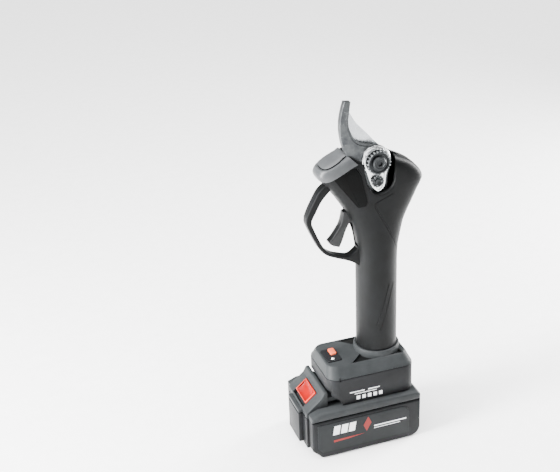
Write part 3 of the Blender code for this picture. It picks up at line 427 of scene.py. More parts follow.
def skinPatch(name, outer, inner, outline, span):
    # the layer of the shell's skin between two depths, inside an outline seen from the side
    made = shellBody(name, outer, 100.0)
    carve(made, shellBody("core", inner, 90.0))
    return carve(made, slabPiece("region", outline, "Y", [(span[0], 0), (span[1], 0)]), "INTERSECT")


def sideSpan(side, near=skinNear):
    return sorted((side * near, side * skinFar))


hook = {
    "outer": [(-31.8, 285.7), (-35.1, 294.7), (-37.2, 305.7), (-37.3, 316.3), (-35.5, 326.6),
              (-33.2, 334.1)],
    "inner": [(-27.6, 333.4), (-28.9, 324.0), (-29.7, 317.0), (-28.6, 309.0), (-23.3, 298.9), (-16.4, 294.9),
              (-11.0, 293.6)],
    "root": [(6.0, 262.0), (6.0, 242.0), (-14.0, 242.0), (-14.0, 262.0), (-17.0, 270.0), (-22.0, 275.5),
             (-28.0, 281.0)],
    # depth from the face and growth of the outline, at the edges and at the ground land
    "soft": [(0.0, -0.7), (0.12, -0.32), (0.4, -0.05), (0.7, 0.0)],
    "landHalf": 1.9,
    "landRows": [(-1.0, 0.5), (0.35, 0.25), (0.75, -0.45)],
}


head = {
    "hookFace": (-11.4, -5.4),
    "bladeEdge": [(-15.7, 273.2), (-19.0, 280.5), (-29.0, 295.0), (-32.6, 305.0), (-33.8, 314.0),
                  (-33.0, 321.5), (-30.5, 326.5)],
    "bladeSpine": [(-25.8, 321.1), (-21.3, 313.4), (-15.9, 307.3), (-9.5, 300.6), (-3.0, 293.2),
                   (3.5, 287.5)],
    # how far the ground bevel stands in from the edge at each place through the thickness
    "bladeBevel": [(-5.1, 2.2), (-4.2, 0.9), (-3.4, 0.15), (-2.55, 0.0), (-2.3, 0.25)],
    "bladeBore": 7.15,
    "plate": [(-18.1, 282.0), (-15.6, 289.6), (-7.4, 292.2), (1.0, 289.2), (6.6, 281.1), (5.7, 272.0),
              (3.4, 264.9), (2.0, 255.0), (-3.6, 250.2), (-9.6, 256.0), (-13.2, 264.9), (-15.7, 273.5)],
}


def hookOutline():
    return (smoothLine(hook["inner"], 6) + arc(pivot, 13.5, 85, -25, 18) + hook["root"]
            + smoothLine(hook["outer"], 6))


guard = {
    "outer": [(-46.5, 260.5), (-54.3, 254.4), (-60.0, 245.1), (-64.9, 235.5), (-67.0, 229.3), (-66.2, 222.4),
              (-58.3, 204.6), (-53.8, 196.9), (-48.3, 191.9), (-39.8, 187.8), (-30.3, 183.9), (-23.0, 180.0),
              (-17.2, 175.0)],
    "inner": [(-17.2, 196.0), (-21.5, 191.4), (-27.3, 187.9), (-35.0, 189.3), (-44.4, 193.1),
              (-51.8, 200.4), (-60.7, 220.5), (-61.9, 227.4), (-58.5, 234.4), (-52.7, 244.8),
              (-45.1, 253.0), (-41.0, 256.0)],
    "half": 4.8,
    "round": 1.2,
    "steps": 84,
}


def guardBody(name, extra=0.0):
    # a rounded strap swept between its outer and inner lines
    outer, inner = guard["outer"], guard["inner"]
    half = guard["half"] + extra
    rings = []
    for k in range(guard["steps"] + 1):
        t = k / guard["steps"]
        here = Vector(curveLine(outer, t * (len(outer) - 1)))
        there = Vector(curveLine(inner, (1 - t) * (len(inner) - 1)))
        way = (there - here).normalized()
        section = rounded((-extra, -half), ((there - here).length + extra, half), guard["round"], 5)
        rings.append([(here.x + way.x * s, y, here.y + way.y * s) for s, y in section])
    return loftPiece(name, rings)


def thickLine(points, half):
    left, right = [], []
    for i, here in enumerate(points):
        before = Vector(points[max(0, i - 1)])
        after = Vector(points[min(len(points) - 1, i + 1)])
        way = (after - before).normalized()
        side = Vector((-way.y, way.x)) * half
        left.append(tuple(Vector(here) + side))
        right.append(tuple(Vector(here) - side))
    return left + right[::-1]


def housingShell(side):
    label = "left" if side < 0 else "right"
    lip, gap = shell["lip"], shell["fitGap"]
    made = shellBody("gripShell_" + label, 0.0)
    carve(made, shellBody("hollow", -shell["wall"], 78.0, 285.0))
    near, far = sorted((side * shell["split"], side * 40.0))
    carve(made, boxPiece("half", (-90, near, 60), (70, far, 310)), "INTERSECT")
    carve(made, skinPatch("capPocket", 3.0, -lip, grown(shell["cap"], gap), (-skinFar, skinFar)))
    windowRoom = grown(shell["window"], gap)
    carve(made, skinPatch("windowPocket", 3.3, -lip - 0.12, windowRoom, sideSpan(side, 3.0)))
    carve(made, guardBody("guardPocket", gap))
    half = shell["slotHalf"]
    carve(made, slabPiece("triggerSlot", shell["triggerSlot"], "Y", [(-half, 0), (half, 0)]))
    lines = [(shell["seam"], 0.28, -0.45)] + [(line, 0.5, -0.3) for line in shell["gripGrooves"]]
    if side < 0:
        plate = smoothLine(head["plate"] + head["plate"][:1], 4)[:-1]
        carve(made, slabPiece("valley", shell["valley"], "Y", shell["valleyRows"]))
        carve(made, turnedPiece("hookWay", shell["hookDisc"], (pivot[0], 0, pivot[1])))
        carve(made, slabPiece("rootWay", shell["rootWay"], "Y", shell["rootRows"]))
        carve(made, slabPiece("plateWay", plate, "Y", shell["plateRows"]))
        carve(made, boxPiece("bladeWay", *shell["bladeWay"]))
        lines.append((smoothLine(shell["lipGroove"], 4), 0.25, -0.4))
    for line, half, depth in lines:
        carve(made, skinPatch("groove", 2.0, depth, thickLine(line, half), sideSpan(side)))
    return dress(made, "mouldedNylonCharcoal", "charcoal_plastic", "handle", "housing_" + label, angle=28.0)


for side in (-1, 1):
    housingShell(side)
print("grip shells")


def shoulderCap():
    wide = (-skinFar, skinFar)
    made = skinPatch("shoulderTrim", 0.8, -0.9, shell["cap"], wide)
    slit = thickLine(smoothLine(shell["capSlit"], 4), 0.7)
    carve(made, skinPatch("slit", 2.0, -1.5, slit, wide))
    roundEdges(made, 0.3, 2, 50)
    return dress(made, "paintedTrimGrey", "grey_plastic", "handle", "shoulder_cap")


def sideWindow(side):
    label = "left" if side < 0 else "right"
    span = sideSpan(side, 3.4)
    made = skinPatch("sideInlay_" + label, 0.3, -0.8, shell["window"], span)
    groove = thickLine(smoothLine(shell["windowLine"], 4), 0.22)
    carve(made, skinPatch("inlayGroove", 1.5, 0.0, groove, span))
    return dress(made, "polishedInlayBlack", "gloss_black", "handle", "side_window_" + label, angle=24.0)


def guardStrap():
    made = guardBody("guardStrap")
    return dress(made, "mouldedNylonCharcoal", "charcoal_plastic", "handle", "trigger_guard", angle=50.0)


shoulderCap()
sideWindow(-1)
sideWindow(1)
guardStrap()
print("trim, inlays and guard")


# trigger

trigger = {
    "front": [(-32.5, 230.9), (-33.5, 225.3), (-35.5, 218.9), (-39.4, 212.8), (-43.2, 207.7),
              (-46.4, 204.6)],
    "tip": [(-46.2, 203.2), (-45.4, 202.2), (-41.8, 199.5), (-40.2, 199.2)],
    "back": [(-36.8, 197.8), (-34.6, 202.0), (-32.8, 206.7), (-29.9, 214.5), (-26.8, 219.6), (-22.0, 221.8)],
    "shoulder": (-27.0, 232.2),
    "boss": 5.0,
    "bore": 1.6,
    "soft": [(4.2, -1.0), (4.08, -0.6), (3.8, -0.22), (3.3, 0.0)],      # half thickness, growth
    "magnetSeat": ((-17.0, -2.0, 224.4), (-15.0, 2.0, 228.6)),
}


def triggerLever():
    outline = (smoothLine(trigger["front"], 5) + trigger["tip"] + smoothLine(trigger["back"], 5)
               + arc(triggerPivot, trigger["boss"], -60, 95, 14) + [trigger["shoulder"]])
    rows = [(-y, g) for y, g in trigger["soft"]] + [(y, g) for y, g in reversed(trigger["soft"])]
    made = slabPiece("triggerLever", outline, "Y", rows)
    carve(made, boreCutter(trigger["bore"], triggerPivot))
    carve(made, boxPiece("magnetSeat", *trigger["magnetSeat"]))
    return dress(made, "mouldedAcetalBlack", "black_plastic", "trigger", "trigger", angle=45.0)


triggerLever()


# cutting head

def hookBlade():
    low, high = head["hookFace"]
    rows = [(low + y, g) for y, g in hook["soft"]] + [(high - y, g) for y, g in reversed(hook["soft"])]
    made = slabPiece("hookBlade", hookOutline(), "Y", rows)
    # ground land along the concave edge, with the dark fold of the forging beside it
    land = thickLine(smoothLine(hook["inner"][1:], 6), hook["landHalf"])
    carve(made, slabPiece("land", land, "Y", [(low + y, g) for y, g in hook["landRows"]]))
    return dress(made, "forgedPhosphateSteel", "forged_steel", "handle", "fixed_blade", angle=20.0)


def bladeOutline(inset):
    edge = smoothLine(head["bladeEdge"], 6)
    if inset:
        edge = thickLine(edge, inset)[len(edge):][::-1]
    return edge + smoothLine(head["bladeSpine"], 6) + arc(pivot, 12.5, 53, -160, 36)


def swingingBlade():
    rings = []
    for place, inset in head["bladeBevel"]:
        rings.append([(u, place, v) for u, v in bladeOutline(inset)])
    made = loftPiece("swingingBlade", rings)
    carve(made, boreCutter(head["bladeBore"], pivot))
    return dress(made, "groundBladeSteel", "bright_steel", "blade", "moving_blade", angle=18.0)


# (place, growth) rows of the plate, and the turned collar round the nut as (radius, place)
clamp = {
    "rows": [(-11.7, -0.2), (-11.9, 0), (-13.7, 0), (-14.05, -0.15), (-14.2, -0.5)],
    "sinkRows": [(-15.0, -1.3), (-14.1, -1.45), (-13.5, -1.6)],
    "rimRows": [(-13.2, -2.1), (-13.8, -2.2), (-13.95, -2.5)],
    "rimHollowRows": [(-15.0, -2.9), (-12.0, -3.1)],
    "collar": [(9.6, -11.9), (13.3, -11.9), (13.3, -12.5), (12.9, -12.9), (12.1, -13.0), (11.9, -13.5),
               (11.5, -14.2), (10.9, -14.45), (10.1, -14.3), (9.6, -13.9)],
    "collarPlace": (pivot[0] - 1.3, 0, pivot[1] + 1.6),
    "bore": 4.1,
}


def clampPlate():
    # the pear-shaped plate with its double rim
    outline = smoothLine(head["plate"] + head["plate"][:1], 6)[:-1]
    made = slabPiece("clampPlate", outline, "Y", clamp["rows"])
    carve(made, slabPiece("sink", outline, "Y", clamp["sinkRows"]))
    rim = slabPiece("innerRim", outline, "Y", clamp["rimRows"])
    carve(rim, slabPiece("rimHollow", outline, "Y", clamp["rimHollowRows"]))
    carve(made, rim, "UNION")
    carve(made, turnedPiece("collar", clamp["collar"], clamp["collarPlace"]), "UNION")
    carve(made, boreCutter(clamp["bore"], pivot, -20.0))
    return dress(made, "platedSteelBright", "bright_steel", "handle", "head_plate", angle=24.0)


# toothed rings: copies of one tooth round a circle

def ringTree():
    tree = bpy.data.node_groups.new("teethRoundRing", "GeometryNodeTree")
    for label, kind in (("Geometry", "NodeSocketGeometry"), ("Tooth", "NodeSocketObject"),
                        ("Count", "NodeSocketInt"), ("Radius", "NodeSocketFloat"),
                        ("Uneven", "NodeSocketFloat"), ("Finish", "NodeSocketMaterial")):
        tree.interface.new_socket(label, in_out="INPUT", socket_type=kind)
    tree.interface.new_socket("Geometry", in_out="OUTPUT", socket_type="NodeSocketGeometry")
    given = addNode(tree, "NodeGroupInput")
    circle = addNode(tree, "GeometryNodeMeshCircle", None,
                     {"Vertices": given.outputs["Count"], "Radius": given.outputs["Radius"]})
    tooth = addNode(tree, "GeometryNodeObjectInfo", None, {"Object": given.outputs["Tooth"]})
    place = addNode(tree, "GeometryNodeInputPosition")
    aim = addNode(tree, "FunctionNodeAlignRotationToVector", {"axis": "X"},
                  {"Vector": place.outputs["Position"]})
    smaller = addNode(tree, "ShaderNodeMath", {"operation": "SUBTRACT", 0: 1.0},
                      {1: given.outputs["Uneven"]})
    size = addNode(tree, "FunctionNodeRandomValue", {"data_type": "FLOAT", "Seed": 7, 3: 1.0},
                   {2: smaller.outputs["Value"]})
    copies = addNode(tree, "GeometryNodeInstanceOnPoints", None,
                     {"Points": circle.outputs["Mesh"], "Instance": tooth.outputs["Geometry"],
                      "Rotation": aim.outputs["Rotation"], "Scale": size.outputs[1]})
    real = addNode(tree, "GeometryNodeRealizeInstances", None, {"Geometry": copies.outputs["Instances"]})
    painted = addNode(tree, "GeometryNodeSetMaterial", None, {"Geometry": real.outputs["Geometry"],
                                                              "Material": given.outputs["Finish"]})
    addNode(tree, "NodeGroupOutput", None, {"Geometry": painted.outputs["Geometry"]})
    return tree


teethRoundRing = ringTree()


def teethPiece(name, ring, centre):
    # one tapered tooth, copied round the ring and turned to face -Y
    root, tip, wide = ring["root"], ring["reach"], ring["width"]
    slim = wide * 0.55
    outline = [(root, -wide), (tip - 0.2, -slim), (tip, -slim * 0.6), (tip, slim * 0.6), (tip - 0.2, slim),
               (root, wide)]
    tooth = loftPiece("tooth", [[(u, v, h) for u, v in outline] for h in ring["span"]])
    holder = pieceFrom(name, bmesh.new(), False)
    step = holder.modifiers.new("teeth", "NODES")
    step.node_group = teethRoundRing
    wanted = {"Tooth": tooth, "Count": ring["count"], "Radius": ring["radius"] * mm, "Uneven": 0.03,
              "Finish": finishes["blackOxideSteel"]}
    for item in teethRoundRing.interface.items_tree:
        if item.in_out == "INPUT" and item.name in wanted:
            step[item.identifier] = wanted[item.name]
    settle(holder)
    bpy.data.objects.remove(tooth, do_unlink=True)
    turn = Matrix.Translation([c * mm for c in centre]) @ Matrix.Rotation(-math.pi / 2, 4, "X")
    holder.data.transform(turn)
    return dress(holder, "wornToothSteel", "black_oxide_steel", "handle", angle=30.0)


# turned profiles as (radius, place), and the ring of teeth on each
nut = {
    "profile": [(4.2, -16.1), (4.2, -14.5), (10.0, -14.5), (10.1, -14.9), (10.1, -16.5), (9.7, -17.0),
                (8.6, -17.0), (8.2, -16.7), (7.9, -16.2), (6.9, -16.05)],
    "sides": 88,
    "teeth": {"count": 22, "radius": 9.6, "root": -1.2, "reach": 1.5, "width": 0.95, "span": (-16.9, -14.6)},
}
lock = {
    "profile": [(1.6, -16.2), (1.6, -14.5), (5.0, -14.5), (5.0, -16.3), (4.7, -16.6), (3.9, -16.6),
                (3.6, -16.2)],
    "sides": 56,
    "teeth": {"count": 14, "radius": 4.6, "root": -1.2, "reach": 1.2, "width": 0.68, "span": (-16.5, -14.6)},
}


def toothedRing(name, teethName, ring, place, node):
    centre = (place[0], 0, place[1])
    made = turnedPiece(name, ring["profile"], centre, sides=ring["sides"])
    teethPiece(teethName, ring["teeth"], centre)
    return dress(made, "blackOxideSteel", "black_oxide_steel", "handle", node, angle=30.0)


# face and rear are places along the bolt, shank is (radius, end) and across the socket's half width
bolts = {
    "pivotBolt": {"place": pivot, "radius": 6.2, "face": -19.0, "rear": -16.3, "depth": 1.6,
                  "shank": (4.0, 12.0), "across": 2.6, "node": "pivot_bolt"},
    "lockScrew": {"place": lockPlace, "radius": 2.9, "face": -18.0, "rear": -16.7, "depth": 0.7,
                  "shank": (1.5, -6.0), "across": 1.3, "node": "lock_screw"},
}


def socketBolt(name):
    # round-headed bolt with a raised ring and a six-sided socket
    size = bolts[name]
    radius, face, rear = size["radius"], size["face"], size["rear"]
    shank, end = size["shank"]
    rim = radius * 0.16
    floor = face + 0.5
    profile = [(0.0, floor), (radius * 0.62, floor), (radius * 0.66, face + 0.1), (radius * 0.72, face),
               (radius - rim, face), (radius, face + rim), (radius, rear), (shank, rear), (shank, end),
               (0.0, end)]
    made = turnedPiece(name, profile, (size["place"][0], 0, size["place"][1]))
    hexagon = arc(size["place"], size["across"], 12, 312, 5)
    carve(made, slabPiece("socket", hexagon, "Y", [(face - 2, 0), (floor + size["depth"], -0.05)]))
    return dress(made, "blackOxideSteel", "bright_steel", "handle", size["node"], angle=32.0)


hookBlade()
swingingBlade()
clampPlate()
toothedRing("toothedNut", "nutTeeth", nut, pivot, "serrated_nut")
socketBolt("pivotBolt")
toothedRing("lockGear", "lockTeeth", lock, lockPlace, "lock_gear")
socketBolt("lockScrew")
print("cutting head")


# foot

foot = {
    "front": -58.3, "back": 27.5, "half": 30.2, "radius": 11.0,
    "low": 49.0, "seam": 76.2, "top": 87.1,
    "topFront": -55.6, "topBack": 22.6, "topHalf": 22.4, "topRadius": 9.0,
    "wall": 2.2,
    "recess": 1.9,
    "recessOutline": [(-33.0, 21.6), (19.0, 21.6), (17.0, 14.0), (0.0, 18.0), (-13.0, 14.0), (-19.5, 8.5)],
    # radius, height over the top face
    "collar": [(17.0, -2.0), (21.9, -2.0), (21.9, 0.5), (21.6, 3.2), (21.2, 4.4), (20.6, 4.9), (17.0, 4.9)],
    "collarBore": 19.35,
    "collarSides": 96,
    "mouth": ((-62.0, -26.4, 45.0), (-53.0, 26.4, 64.5)),
    "corner": [(-54.3, 59.7), (-49.8, 56.4), (-46.6, 52.2), (-45.0, 46.0)],
    "panelPocket": ((-53.4, -13.4), (-39.1, 9.4)),
    "notch": (-48.6, -46.6),
}


def footRing(height, inset=0.0, blend=0.0):
    # blend goes from the lower block's outline at 0 to the top face's at 1
    def mixed(a, b):
        return foot[a] + (foot[b] - foot[a]) * blend
    half = mixed("half", "topHalf") - inset
    low, high = (mixed("front", "topFront") + inset, -half), (mixed("back", "topBack") - inset, half)
    return [(x, y, height) for x, y in rounded(low, high, mixed("radius", "topRadius") - inset * 0.6, 12)]


def footShell():
    low, seam, top = foot["low"], foot["seam"], foot["top"]
    rise = top - seam
    # height, inset and blend of each ring, with a groove at the seam
    table = [(low, 0.7, 0), (low + 0.25, 0.25, 0), (low + 0.7, 0.0, 0), (seam - 0.7, 0.0, 0),
             (seam - 0.25, 0.18, 0), (seam, 0.6, 0), (seam + 0.35, 0.65, 0), (seam + 0.65, 0.25, 0),
             (seam + 1.1, 0.0, 0.05), (seam + rise * 0.3, 0.0, 0.3), (seam + rise * 0.6, 0.0, 0.6),
             (seam + rise * 0.86, 0.0, 0.86), (top - 0.75, 0.1, 0.95), (top - 0.25, 0.2, 1.0),
             (top, 0.9, 1.0)]
    made = loftPiece("footShell", [footRing(*row) for row in table])
    wall = foot["wall"]
    hollow = [(low - 2, wall, 0), (seam - 1, wall, 0), (top - wall, wall + 0.2, 1.0)]
    carve(made, loftPiece("footHollow", [footRing(*row) for row in hollow]))
    recessFloor = top - foot["recess"]
    for side in (-1, 1):
        outline = [(x, side * y) for x, y in foot["recessOutline"]]
        carve(made, slabPiece("recess", outline, "Z", [(recessFloor, 0), (top + 3.0, 0)]))
    sides, bore = foot["collarSides"], foot["collarBore"]
    collar = [(radius, top + over) for radius, over in foot["collar"]]
    carve(made, turnedPiece("collar", collar, (0, 0, 0), "Z", sides), "UNION")
    carve(made, turnedPiece("bore", [(0, 79), (bore, 79), (bore, 100), (0, 100)], (0, 0, 0), "Z", sides))
    carve(made, boxPiece("mouth", *foot["mouth"]))
    corner = [(-66.0, 62.6), (-57.5, 61.8)] + smoothLine(foot["corner"], 6) + [(-66.0, 46.0)]
    carve(made, slabPiece("corner", corner, "Y", [(-36.0, 0), (36.0, 0)]))
    pocket = rounded(*foot["panelPocket"], 2.4)
    carve(made, slabPiece("panelPocket", pocket, "Z", [(top - 1.0, 0), (top + 5.0, 0.4)]))
    notch = rectangle(*foot["notch"], seam - 1.0, seam + 4.6)
    for side in (-1, 1):
        carve(made, slabPiece("notch", notch, "Y", [(side * (foot["half"] - 1.6), 0), (side * 33.0, 0)]))
    dress(made, "satinAbsGraphite", "charcoal_plastic", "handle", "foot_shell", angle=30.0)
    # painted shade: the foot below its seam takes the darker copy of its ABS
    secondFinish(made, "satinAbsDark", lambda face: face.center.z < (seam + 0.4) * mm)

    def onRecessFloor(face):
        level = abs(face.center.z - recessFloor * mm) < 0.1 * mm
        return level and face.normal.z > 0.9 and face.center.x > -34.0 * mm
    return secondFinish(made, "shadowBlackPlastic", onRecessFloor)    # the floors stay in shadow


panel = {
    "outline": ((-53.0, -13.0), (-39.5, 9.0)),
    "rows": [(86.3, 0), (87.7, 0), (88.0, -0.35)],
    "buttonHole": ((-46.8, -2.8), (-40.2, 8.0)),
    "button": ((-46.4, -2.4), (-40.6, 7.6)),
    "buttonRows": [(87.0, 0), (88.7, 0), (89.05, -0.15), (89.2, -0.55)],
    "light": (-47, -9, 0),
    "lightProfile": [(0, 86.3), (1.5, 86.3), (1.5, 87.9), (1.3, 88.3), (0.8, 88.5), (0, 88.55)],
    "lightHole": 1.8,
}


def switchPanel():
    made = slabPiece("switchPanel", rounded(*panel["outline"], 2.0, 10), "Z", panel["rows"])
    carve(made, slabPiece("buttonHole", rounded(*panel["buttonHole"], 1.6), "Z", [(80, 0), (95, 0)]))
    hole = panel["lightHole"]
    through = [(0, 80), (hole, 80), (hole, 95), (0, 95)]
    carve(made, turnedPiece("lightHole", through, panel["light"], "Z", 32))
    return dress(made, "satinAbsDark", "black_plastic", "handle", "switch_panel")


def powerButton():
    made = slabPiece("powerButton", rounded(*panel["button"], 1.3, 10), "Z", panel["buttonRows"])
    return dress(made, "litButtonAmber", "red_plastic", "power_button", "power_button")


def statusLight():
    made = turnedPiece("statusLight", panel["lightProfile"], panel["light"], "Z", 32)
    return dress(made, "frostedLensWhite", "white_lens", "handle", "status_light", angle=60.0)


footShell()
switchPanel()
powerButton()
statusLight()
print("foot")


# battery pack

pack = {
    "split": 40.3, "top": 48.7, "gap": 0.3, "half": 36.3, "front": -78.0, "back": 31.0,
    "cornerRadius": 10.0,
    "slopeFoot": (-80.0, 46.0), "slopeTop": (-65.0, 58.5),
    "sideSoft": [(0.0, -2.6), (0.35, -1.45), (0.95, -0.6), (1.75, -0.12), (2.6, 0.0)],
    "noseHalf": 26.0,
    "blockHalf": 15.0,
    "caseGrooves": (-20.5, -17.5, 17.5, 20.5),
    "lidGrooves": (-20.5, 20.5),
    "grooveHalf": 0.45,
    "caseHollow": ((-75.0, -33.9, 2.6), (28.4, 33.9, 43.0)),
    "lidHollow": ((-68.0, -33.8, 38.0), (28.4, 33.8, 46.2)),
    # the tower that slides into the foot: a stem and a wider head
    "tower": [((-60.5, -20.0, 46.0), (24.0, 20.0, 53.2)), ((-60.5, -24.0, 53.0), (24.0, 24.0, 57.0))],
    "towerHollow": ((-56.0, -17.6, 45.0), (21.8, 17.6, 54.8)),
    "terminalSlots": (-10.0, -5.0, 0.0, 5.0, 10.0),
    "slotHalf": 0.9,
    # these lie on the slope, X along it and Z out of it
    "buttonPocket": ((0.9, -14.2, -4.6), (19.1, 14.2, 8.0)),
    "stemSlot": ((8.7, -4.8, -16.0), (17.1, 4.8, -4.0)),
    "button": ((4.6, -13.7, -2.6), (18.6, 13.7, 0.9)),
    "stem": ((12.6, -4.4, -9.0), (16.6, 4.4, -2.0)),
    "dish": [(0, -12.0), (8.7, -12.0), (9.1, -11.4), (9.1, 11.4), (8.7, 12.0), (0, 12.0)],
    "dishPlace": (11.6, 0, 7.6),
}


def softSlab(name, outline, half):
    soft = pack["sideSoft"]
    rows = [(-half + y, g) for y, g in soft] + [(half - y, g) for y, g in reversed(soft)]
    return slabPiece(name, outline, "Y", rows)


def softBox(name, low, high):
    return roundEdges(boxPiece(name, low, high), 0.8, 3)


def cutGrooves(piece, places, low, high):
    # upright grooves down the nose
    wide = pack["grooveHalf"]
    for place in places:
        carve(piece, boxPiece("noseGroove", (-82.0, place - wide, low), (-79.2, place + wide, high)))


def packCase():
    front, back, top = pack["front"], pack["back"], pack["split"] - pack["gap"]
    nose, block, radius = pack["noseHalf"], pack["blockHalf"], pack["cornerRadius"]
    outline = ([(front + 11, 0.0)] + arc((back - radius, radius), radius, -90, 0, 10)
               + [(back, top), (front, top), (front, 11.0), (front + 1.0, 8.6), (front + 8.8, 0.7)])
    made = softSlab("packCase", outline, pack["half"])
    carve(made, softBox("nose", (-80.0, -nose, 8.0), (-72.0, nose, top)), "UNION")
    carve(made, softBox("frontBlock", (-84.0, -block, 9.0), (-72.0, block, top)), "UNION")
    cutGrooves(made, pack["caseGrooves"], 11.0, top + 1)
    carve(made, boxPiece("hollow", *pack["caseHollow"]))
    # painted shade: the case's upright sides take the darker copy of the lid's ABS
    return dress(made, "satinAbsDark", "charcoal_plastic", "battery", "battery_case", angle=30.0)


def slopeFrame():
    (footX, footZ), (topX, topZ) = pack["slopeFoot"], pack["slopeTop"]
    along = Vector((topX - footX, 0, topZ - footZ)).normalized()
    outward = along.cross(Vector((0, 1, 0)))
    turn = Matrix((along, (0, 1, 0), outward)).transposed().to_4x4()
    return Matrix.Translation((footX * mm, 0, footZ * mm)) @ turn


def onSlope(piece):
    piece.data.transform(slopeFrame())
    return piece


def packLid():
    front, back, low, top = pack["front"], pack["back"], pack["split"], pack["top"]
    half, block = pack["noseHalf"], pack["blockHalf"]
    outline = [(front, low), (back, low), (back, top - 3), (back - 3, top), (front + 9.0, top),
               (front, top - 3.4)]
    made = softSlab("packLid", outline, pack["half"])
    nose = [(-80.0, low + 0.5), (-58.8, low + 0.5), (-58.8, 64.0), (-62.2, 64.0), pack["slopeTop"],
            pack["slopeFoot"]]
    ramp = slabPiece("lidNose", nose, "Y", [(-half, 0), (half, 0)])
    carve(made, roundEdges(ramp, 0.9, 3), "UNION")
    carve(made, softBox("lidFront", (-84.0, -block, low + 0.9), (-74.0, block, 44.4)), "UNION")
    for corners in pack["tower"]:
        carve(made, boxPiece("tower", *corners), "UNION")
    carve(made, boxPiece("lidHollow", *pack["lidHollow"]))
    carve(made, boxPiece("towerHollow", *pack["towerHollow"]))
    wide = pack["slotHalf"]
    for place in pack["terminalSlots"]:
        carve(made, boxPiece("terminalSlot", (-8.0, place - wide, 49.0), (25.0, place + wide, 60.0)))
    carve(made, onSlope(boxPiece("buttonPocket", *pack["buttonPocket"])))
    carve(made, onSlope(boxPiece("stemSlot", *pack["stemSlot"])))
    cutGrooves(made, pack["lidGrooves"], 38.0, 45.0)
    return dress(made, "satinAbsGraphite", "charcoal_plastic", "battery", "battery_lid", angle=30.0)


def releaseButton():
    made = roundEdges(boxPiece("releaseButton", *pack["button"]), 0.9, 4)
    carve(made, boxPiece("stem", *pack["stem"]), "UNION")
    carve(made, turnedPiece("dish", pack["dish"], pack["dishPlace"], sides=128))
    dress(made, "mouldedAcetalRed", "red_plastic", "release_button", "release_button", angle=34.0)
    # partly wear, partly painted highlight: the button's upward faces take the paler rim finish
    secondFinish(made, "rubbedAndHighlitRimCoral", lambda face: face.center.z > 0.5 * mm and face.normal.z > 0.8)
    return onSlope(made)


# raised side panel; the marks on it are plain shapes: charge bars, a slanted diamond and rules
marks = {
    "outline": [(-73.0, 12.0), (-68.0, 7.0), (18.5, 7.0), (18.5, 30.0), (17.6, 33.0), (15.0, 35.8),
                (11.5, 37.0), (-73.0, 37.0)],
    "panelRows": [(36.4, 0), (37.0, 0), (37.2, -0.15), (37.3, -0.5)],
    "bars": (-58.6, -50.9, -43.2),
    "barWidth": 6.2,
    "barHeight": (24.0, 33.5),
    "slant": 1.6,
    "diamond": [(-28.2, 27.0), (-25.0, 20.0), (-20.2, 28.5), (-23.4, 35.6)],
    "rules": [(-17.5, 15.3, 23.2, 24.4), (-17.5, 9.0, 21.0, 21.6)],
    "underline": [(-57.7, 16.0), (-43.0, 16.6), (-27.0, 18.4), (-43.0, 18.4), (-57.7, 18.2)],
    # left, right, low and high of the small marks on the foot
    "squares": [(x, x + 3.4, 52.4, 56.2) for x in (-32.0, -26.4, -20.8, -15.2, -9.6)],
    "lines": [(-38.5, -24.0, 60.6, 61.5), (-20.5, -9.0, 60.6, 61.5), (-34.0, -12.0, 58.4, 59.0)],
    "thickness": 0.06,
}


def markPiece(name, shapes, place, finish, body):
    # thin ink shapes laid on a side face
    bm = bmesh.new()
    low, high = sorted((place, place + math.copysign(marks["thickness"], place)))
    for shape in shapes:
        rings = [[bm.verts.new((u * mm, y * mm, v * mm)) for u, v in shape] for y in (low, high)]
        for i in range(len(shape)):
            j = (i + 1) % len(shape)
            bm.faces.new((rings[0][i], rings[0][j], rings[1][j], rings[1][i]))
        bm.faces.new(rings[0][::-1])
        bm.faces.new(rings[1])
    made = pieceFrom(name, bm)
    return dress(made, finish, "white_lens" if finish == "printedInkWhite" else "red_plastic", body)


def labelPanel(side):
    label = "left" if side < 0 else "right"
    rows = [(side * place, growth) for place, growth in marks["panelRows"]]
    face = rows[-1][0]
    made = slabPiece("labelPanel_" + label, marks["outline"], "Y", rows)
    dress(made, "satinPanelGrey", "charcoal_plastic", "battery", "label_panel_" + label)
    low, high = marks["barHeight"]
    wide, slant = marks["barWidth"], marks["slant"]
    bars = [[(x, low), (x + wide, low), (x + wide + slant, high), (x + slant, high)] for x in marks["bars"]]
    rules = [rectangle(*rule) for rule in marks["rules"]]
    markPiece("whiteMarks_" + label, bars + rules, face, "printedInkWhite", "battery")
    reds = [marks["diamond"], marks["underline"]]
    markPiece("redMarks_" + label, reds, face, "printedInkRed", "battery")
    small = [rectangle(*sides) for sides in marks["squares"] + marks["lines"]]
    markPiece("footMarks_" + label, small, side * foot["half"], "printedInkWhite", "handle")


packCase()
packLid()
releaseButton()
labelPanel(-1)
labelPanel(1)
print("battery pack")


# pieces inside, kept from the CAD with a finish of their own

kept = {
    "blackOxideSteel": ["housing_screw_1", "housing_screw_2", "housing_screw_3", "housing_screw_4",
                        "housing_screw_5", "bevel_sector", "case_screw_1", "case_screw_2", "rotor",
                        "blade_screw_1", "blade_screw_2"],
    "platedSteelBright": ["sector_rivet_1", "sector_rivet_2", "trigger_pin",
                          "trigger_magnet", "foot_rail_left", "foot_rail_right"],
    "machinedGearSteel": ["bevel_pinion", "output_shaft", "planet_gear_1", "planet_gear_2", "planet_gear_3",
                          "motor_shaft", "ring_gear", "gearbox_cover", "output_bearing"],
    "drawnCanSteel": ["motor_can", "heat_sink"],
    "sinteredBronze": ["pivot_bush"],
    "enamelledCopper": ["stator"],
    "maskedBoardGreen": ["hall_board", "controller_board", "pack_board"],
    "shrinkSleeveBlue": ["cell_row_lower", "cell_row_upper"],
    "shadowBlackPlastic": ["terminal_block", "head_frame"],
}

for finish, names in kept.items():
    for node in names:
        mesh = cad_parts[node].data
        mesh.materials.clear()
        mesh.materials.append(finishes[finish])
print("kept pieces")


# stage, camera and lights

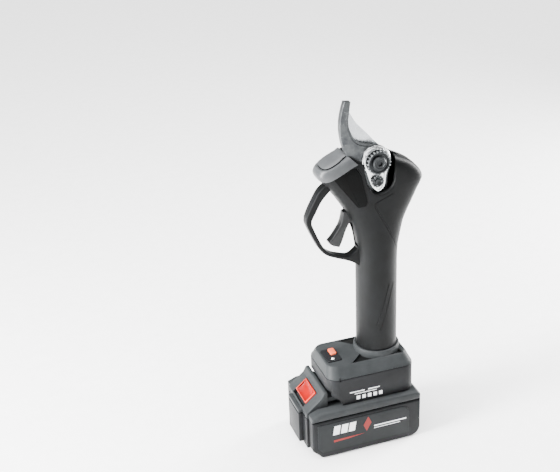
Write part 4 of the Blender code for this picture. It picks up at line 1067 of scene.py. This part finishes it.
studio = {
    "floorHalf": 6.0,
    "floorDrop": 0.0002,
    "middle": (-0.02, 0.0, 0.17),
    # place, width and height, watts
    "strips": {"leftStrip": ((-1.0, -0.1, 0.5), (0.35, 1.2), 90.0),
               "rightStrip": ((0.9, 0.25, 0.45), (0.3, 1.2), 45.0)},
    # a very wide, even overhead bank: whitens the floor and leaves the upright faces dark
    "bankPower": 8.0, "bankWidth": 75.0, "bankTilt": (4.0, -14.0, 0.0),
    "skyStrength": 0.35,
    "lens": 68.14, "sensor": 36.0, "shift": -0.1696,
    "cameraPlace": (-0.3339, -0.7956, 0.6086), "cameraTurn": (64.7, 0.0, -22.7),
}


def turned(angles):
    return [math.radians(angle) for angle in angles]


def addToScene(name, data):
    made = bpy.data.objects.new(name, data)
    bpy.context.scene.collection.objects.link(made)
    return made


def makeFloor():
    bm = bmesh.new()
    bmesh.ops.create_grid(bm, x_segments=2, y_segments=2, size=studio["floorHalf"])
    made = pieceFrom("floor", bm, False)
    made.location.z = -studio["floorDrop"]
    floorFinish = makeFinish("studioFloorWhite", "#fbfbfb", "#f7f7f7", (0.6, 0.7), 4.0, 0.001)
    made.data.materials.append(floorFinish)


def makeStrip(name):
    place, size, power = studio["strips"][name]
    lamp = bpy.data.lights.new(name, "AREA")
    lamp.shape = "RECTANGLE"
    lamp.size, lamp.size_y = size
    lamp.energy = power
    made = addToScene(name, lamp)
    made.location = place
    made.rotation_euler = (Vector(studio["middle"]) - Vector(place)).to_track_quat("-Z", "Y").to_euler()


def makeOverhead():
    lamp = bpy.data.lights.new("overheadBank", "SUN")
    lamp.energy = studio["bankPower"]
    lamp.angle = math.radians(studio["bankWidth"])
    addToScene("overheadBank", lamp).rotation_euler = turned(studio["bankTilt"])


def makeSky():
    world = bpy.data.worlds.new("studio")
    world.use_nodes = True
    background = world.node_tree.nodes["Background"]
    background.inputs["Color"].default_value = hexColour("#ffffff")
    background.inputs["Strength"].default_value = studio["skyStrength"]
    bpy.context.scene.world = world


def makeCamera():
    lens = bpy.data.cameras.new("camera")
    lens.lens = studio["lens"]
    lens.sensor_width = studio["sensor"]
    lens.shift_x = studio["shift"]
    made = addToScene("camera", lens)
    made.location = studio["cameraPlace"]
    made.rotation_euler = turned(studio["cameraTurn"])
    bpy.context.scene.camera = made


makeFloor()
makeSky()
for stripName in studio["strips"]:
    makeStrip(stripName)
makeOverhead()
makeCamera()
print("studio")
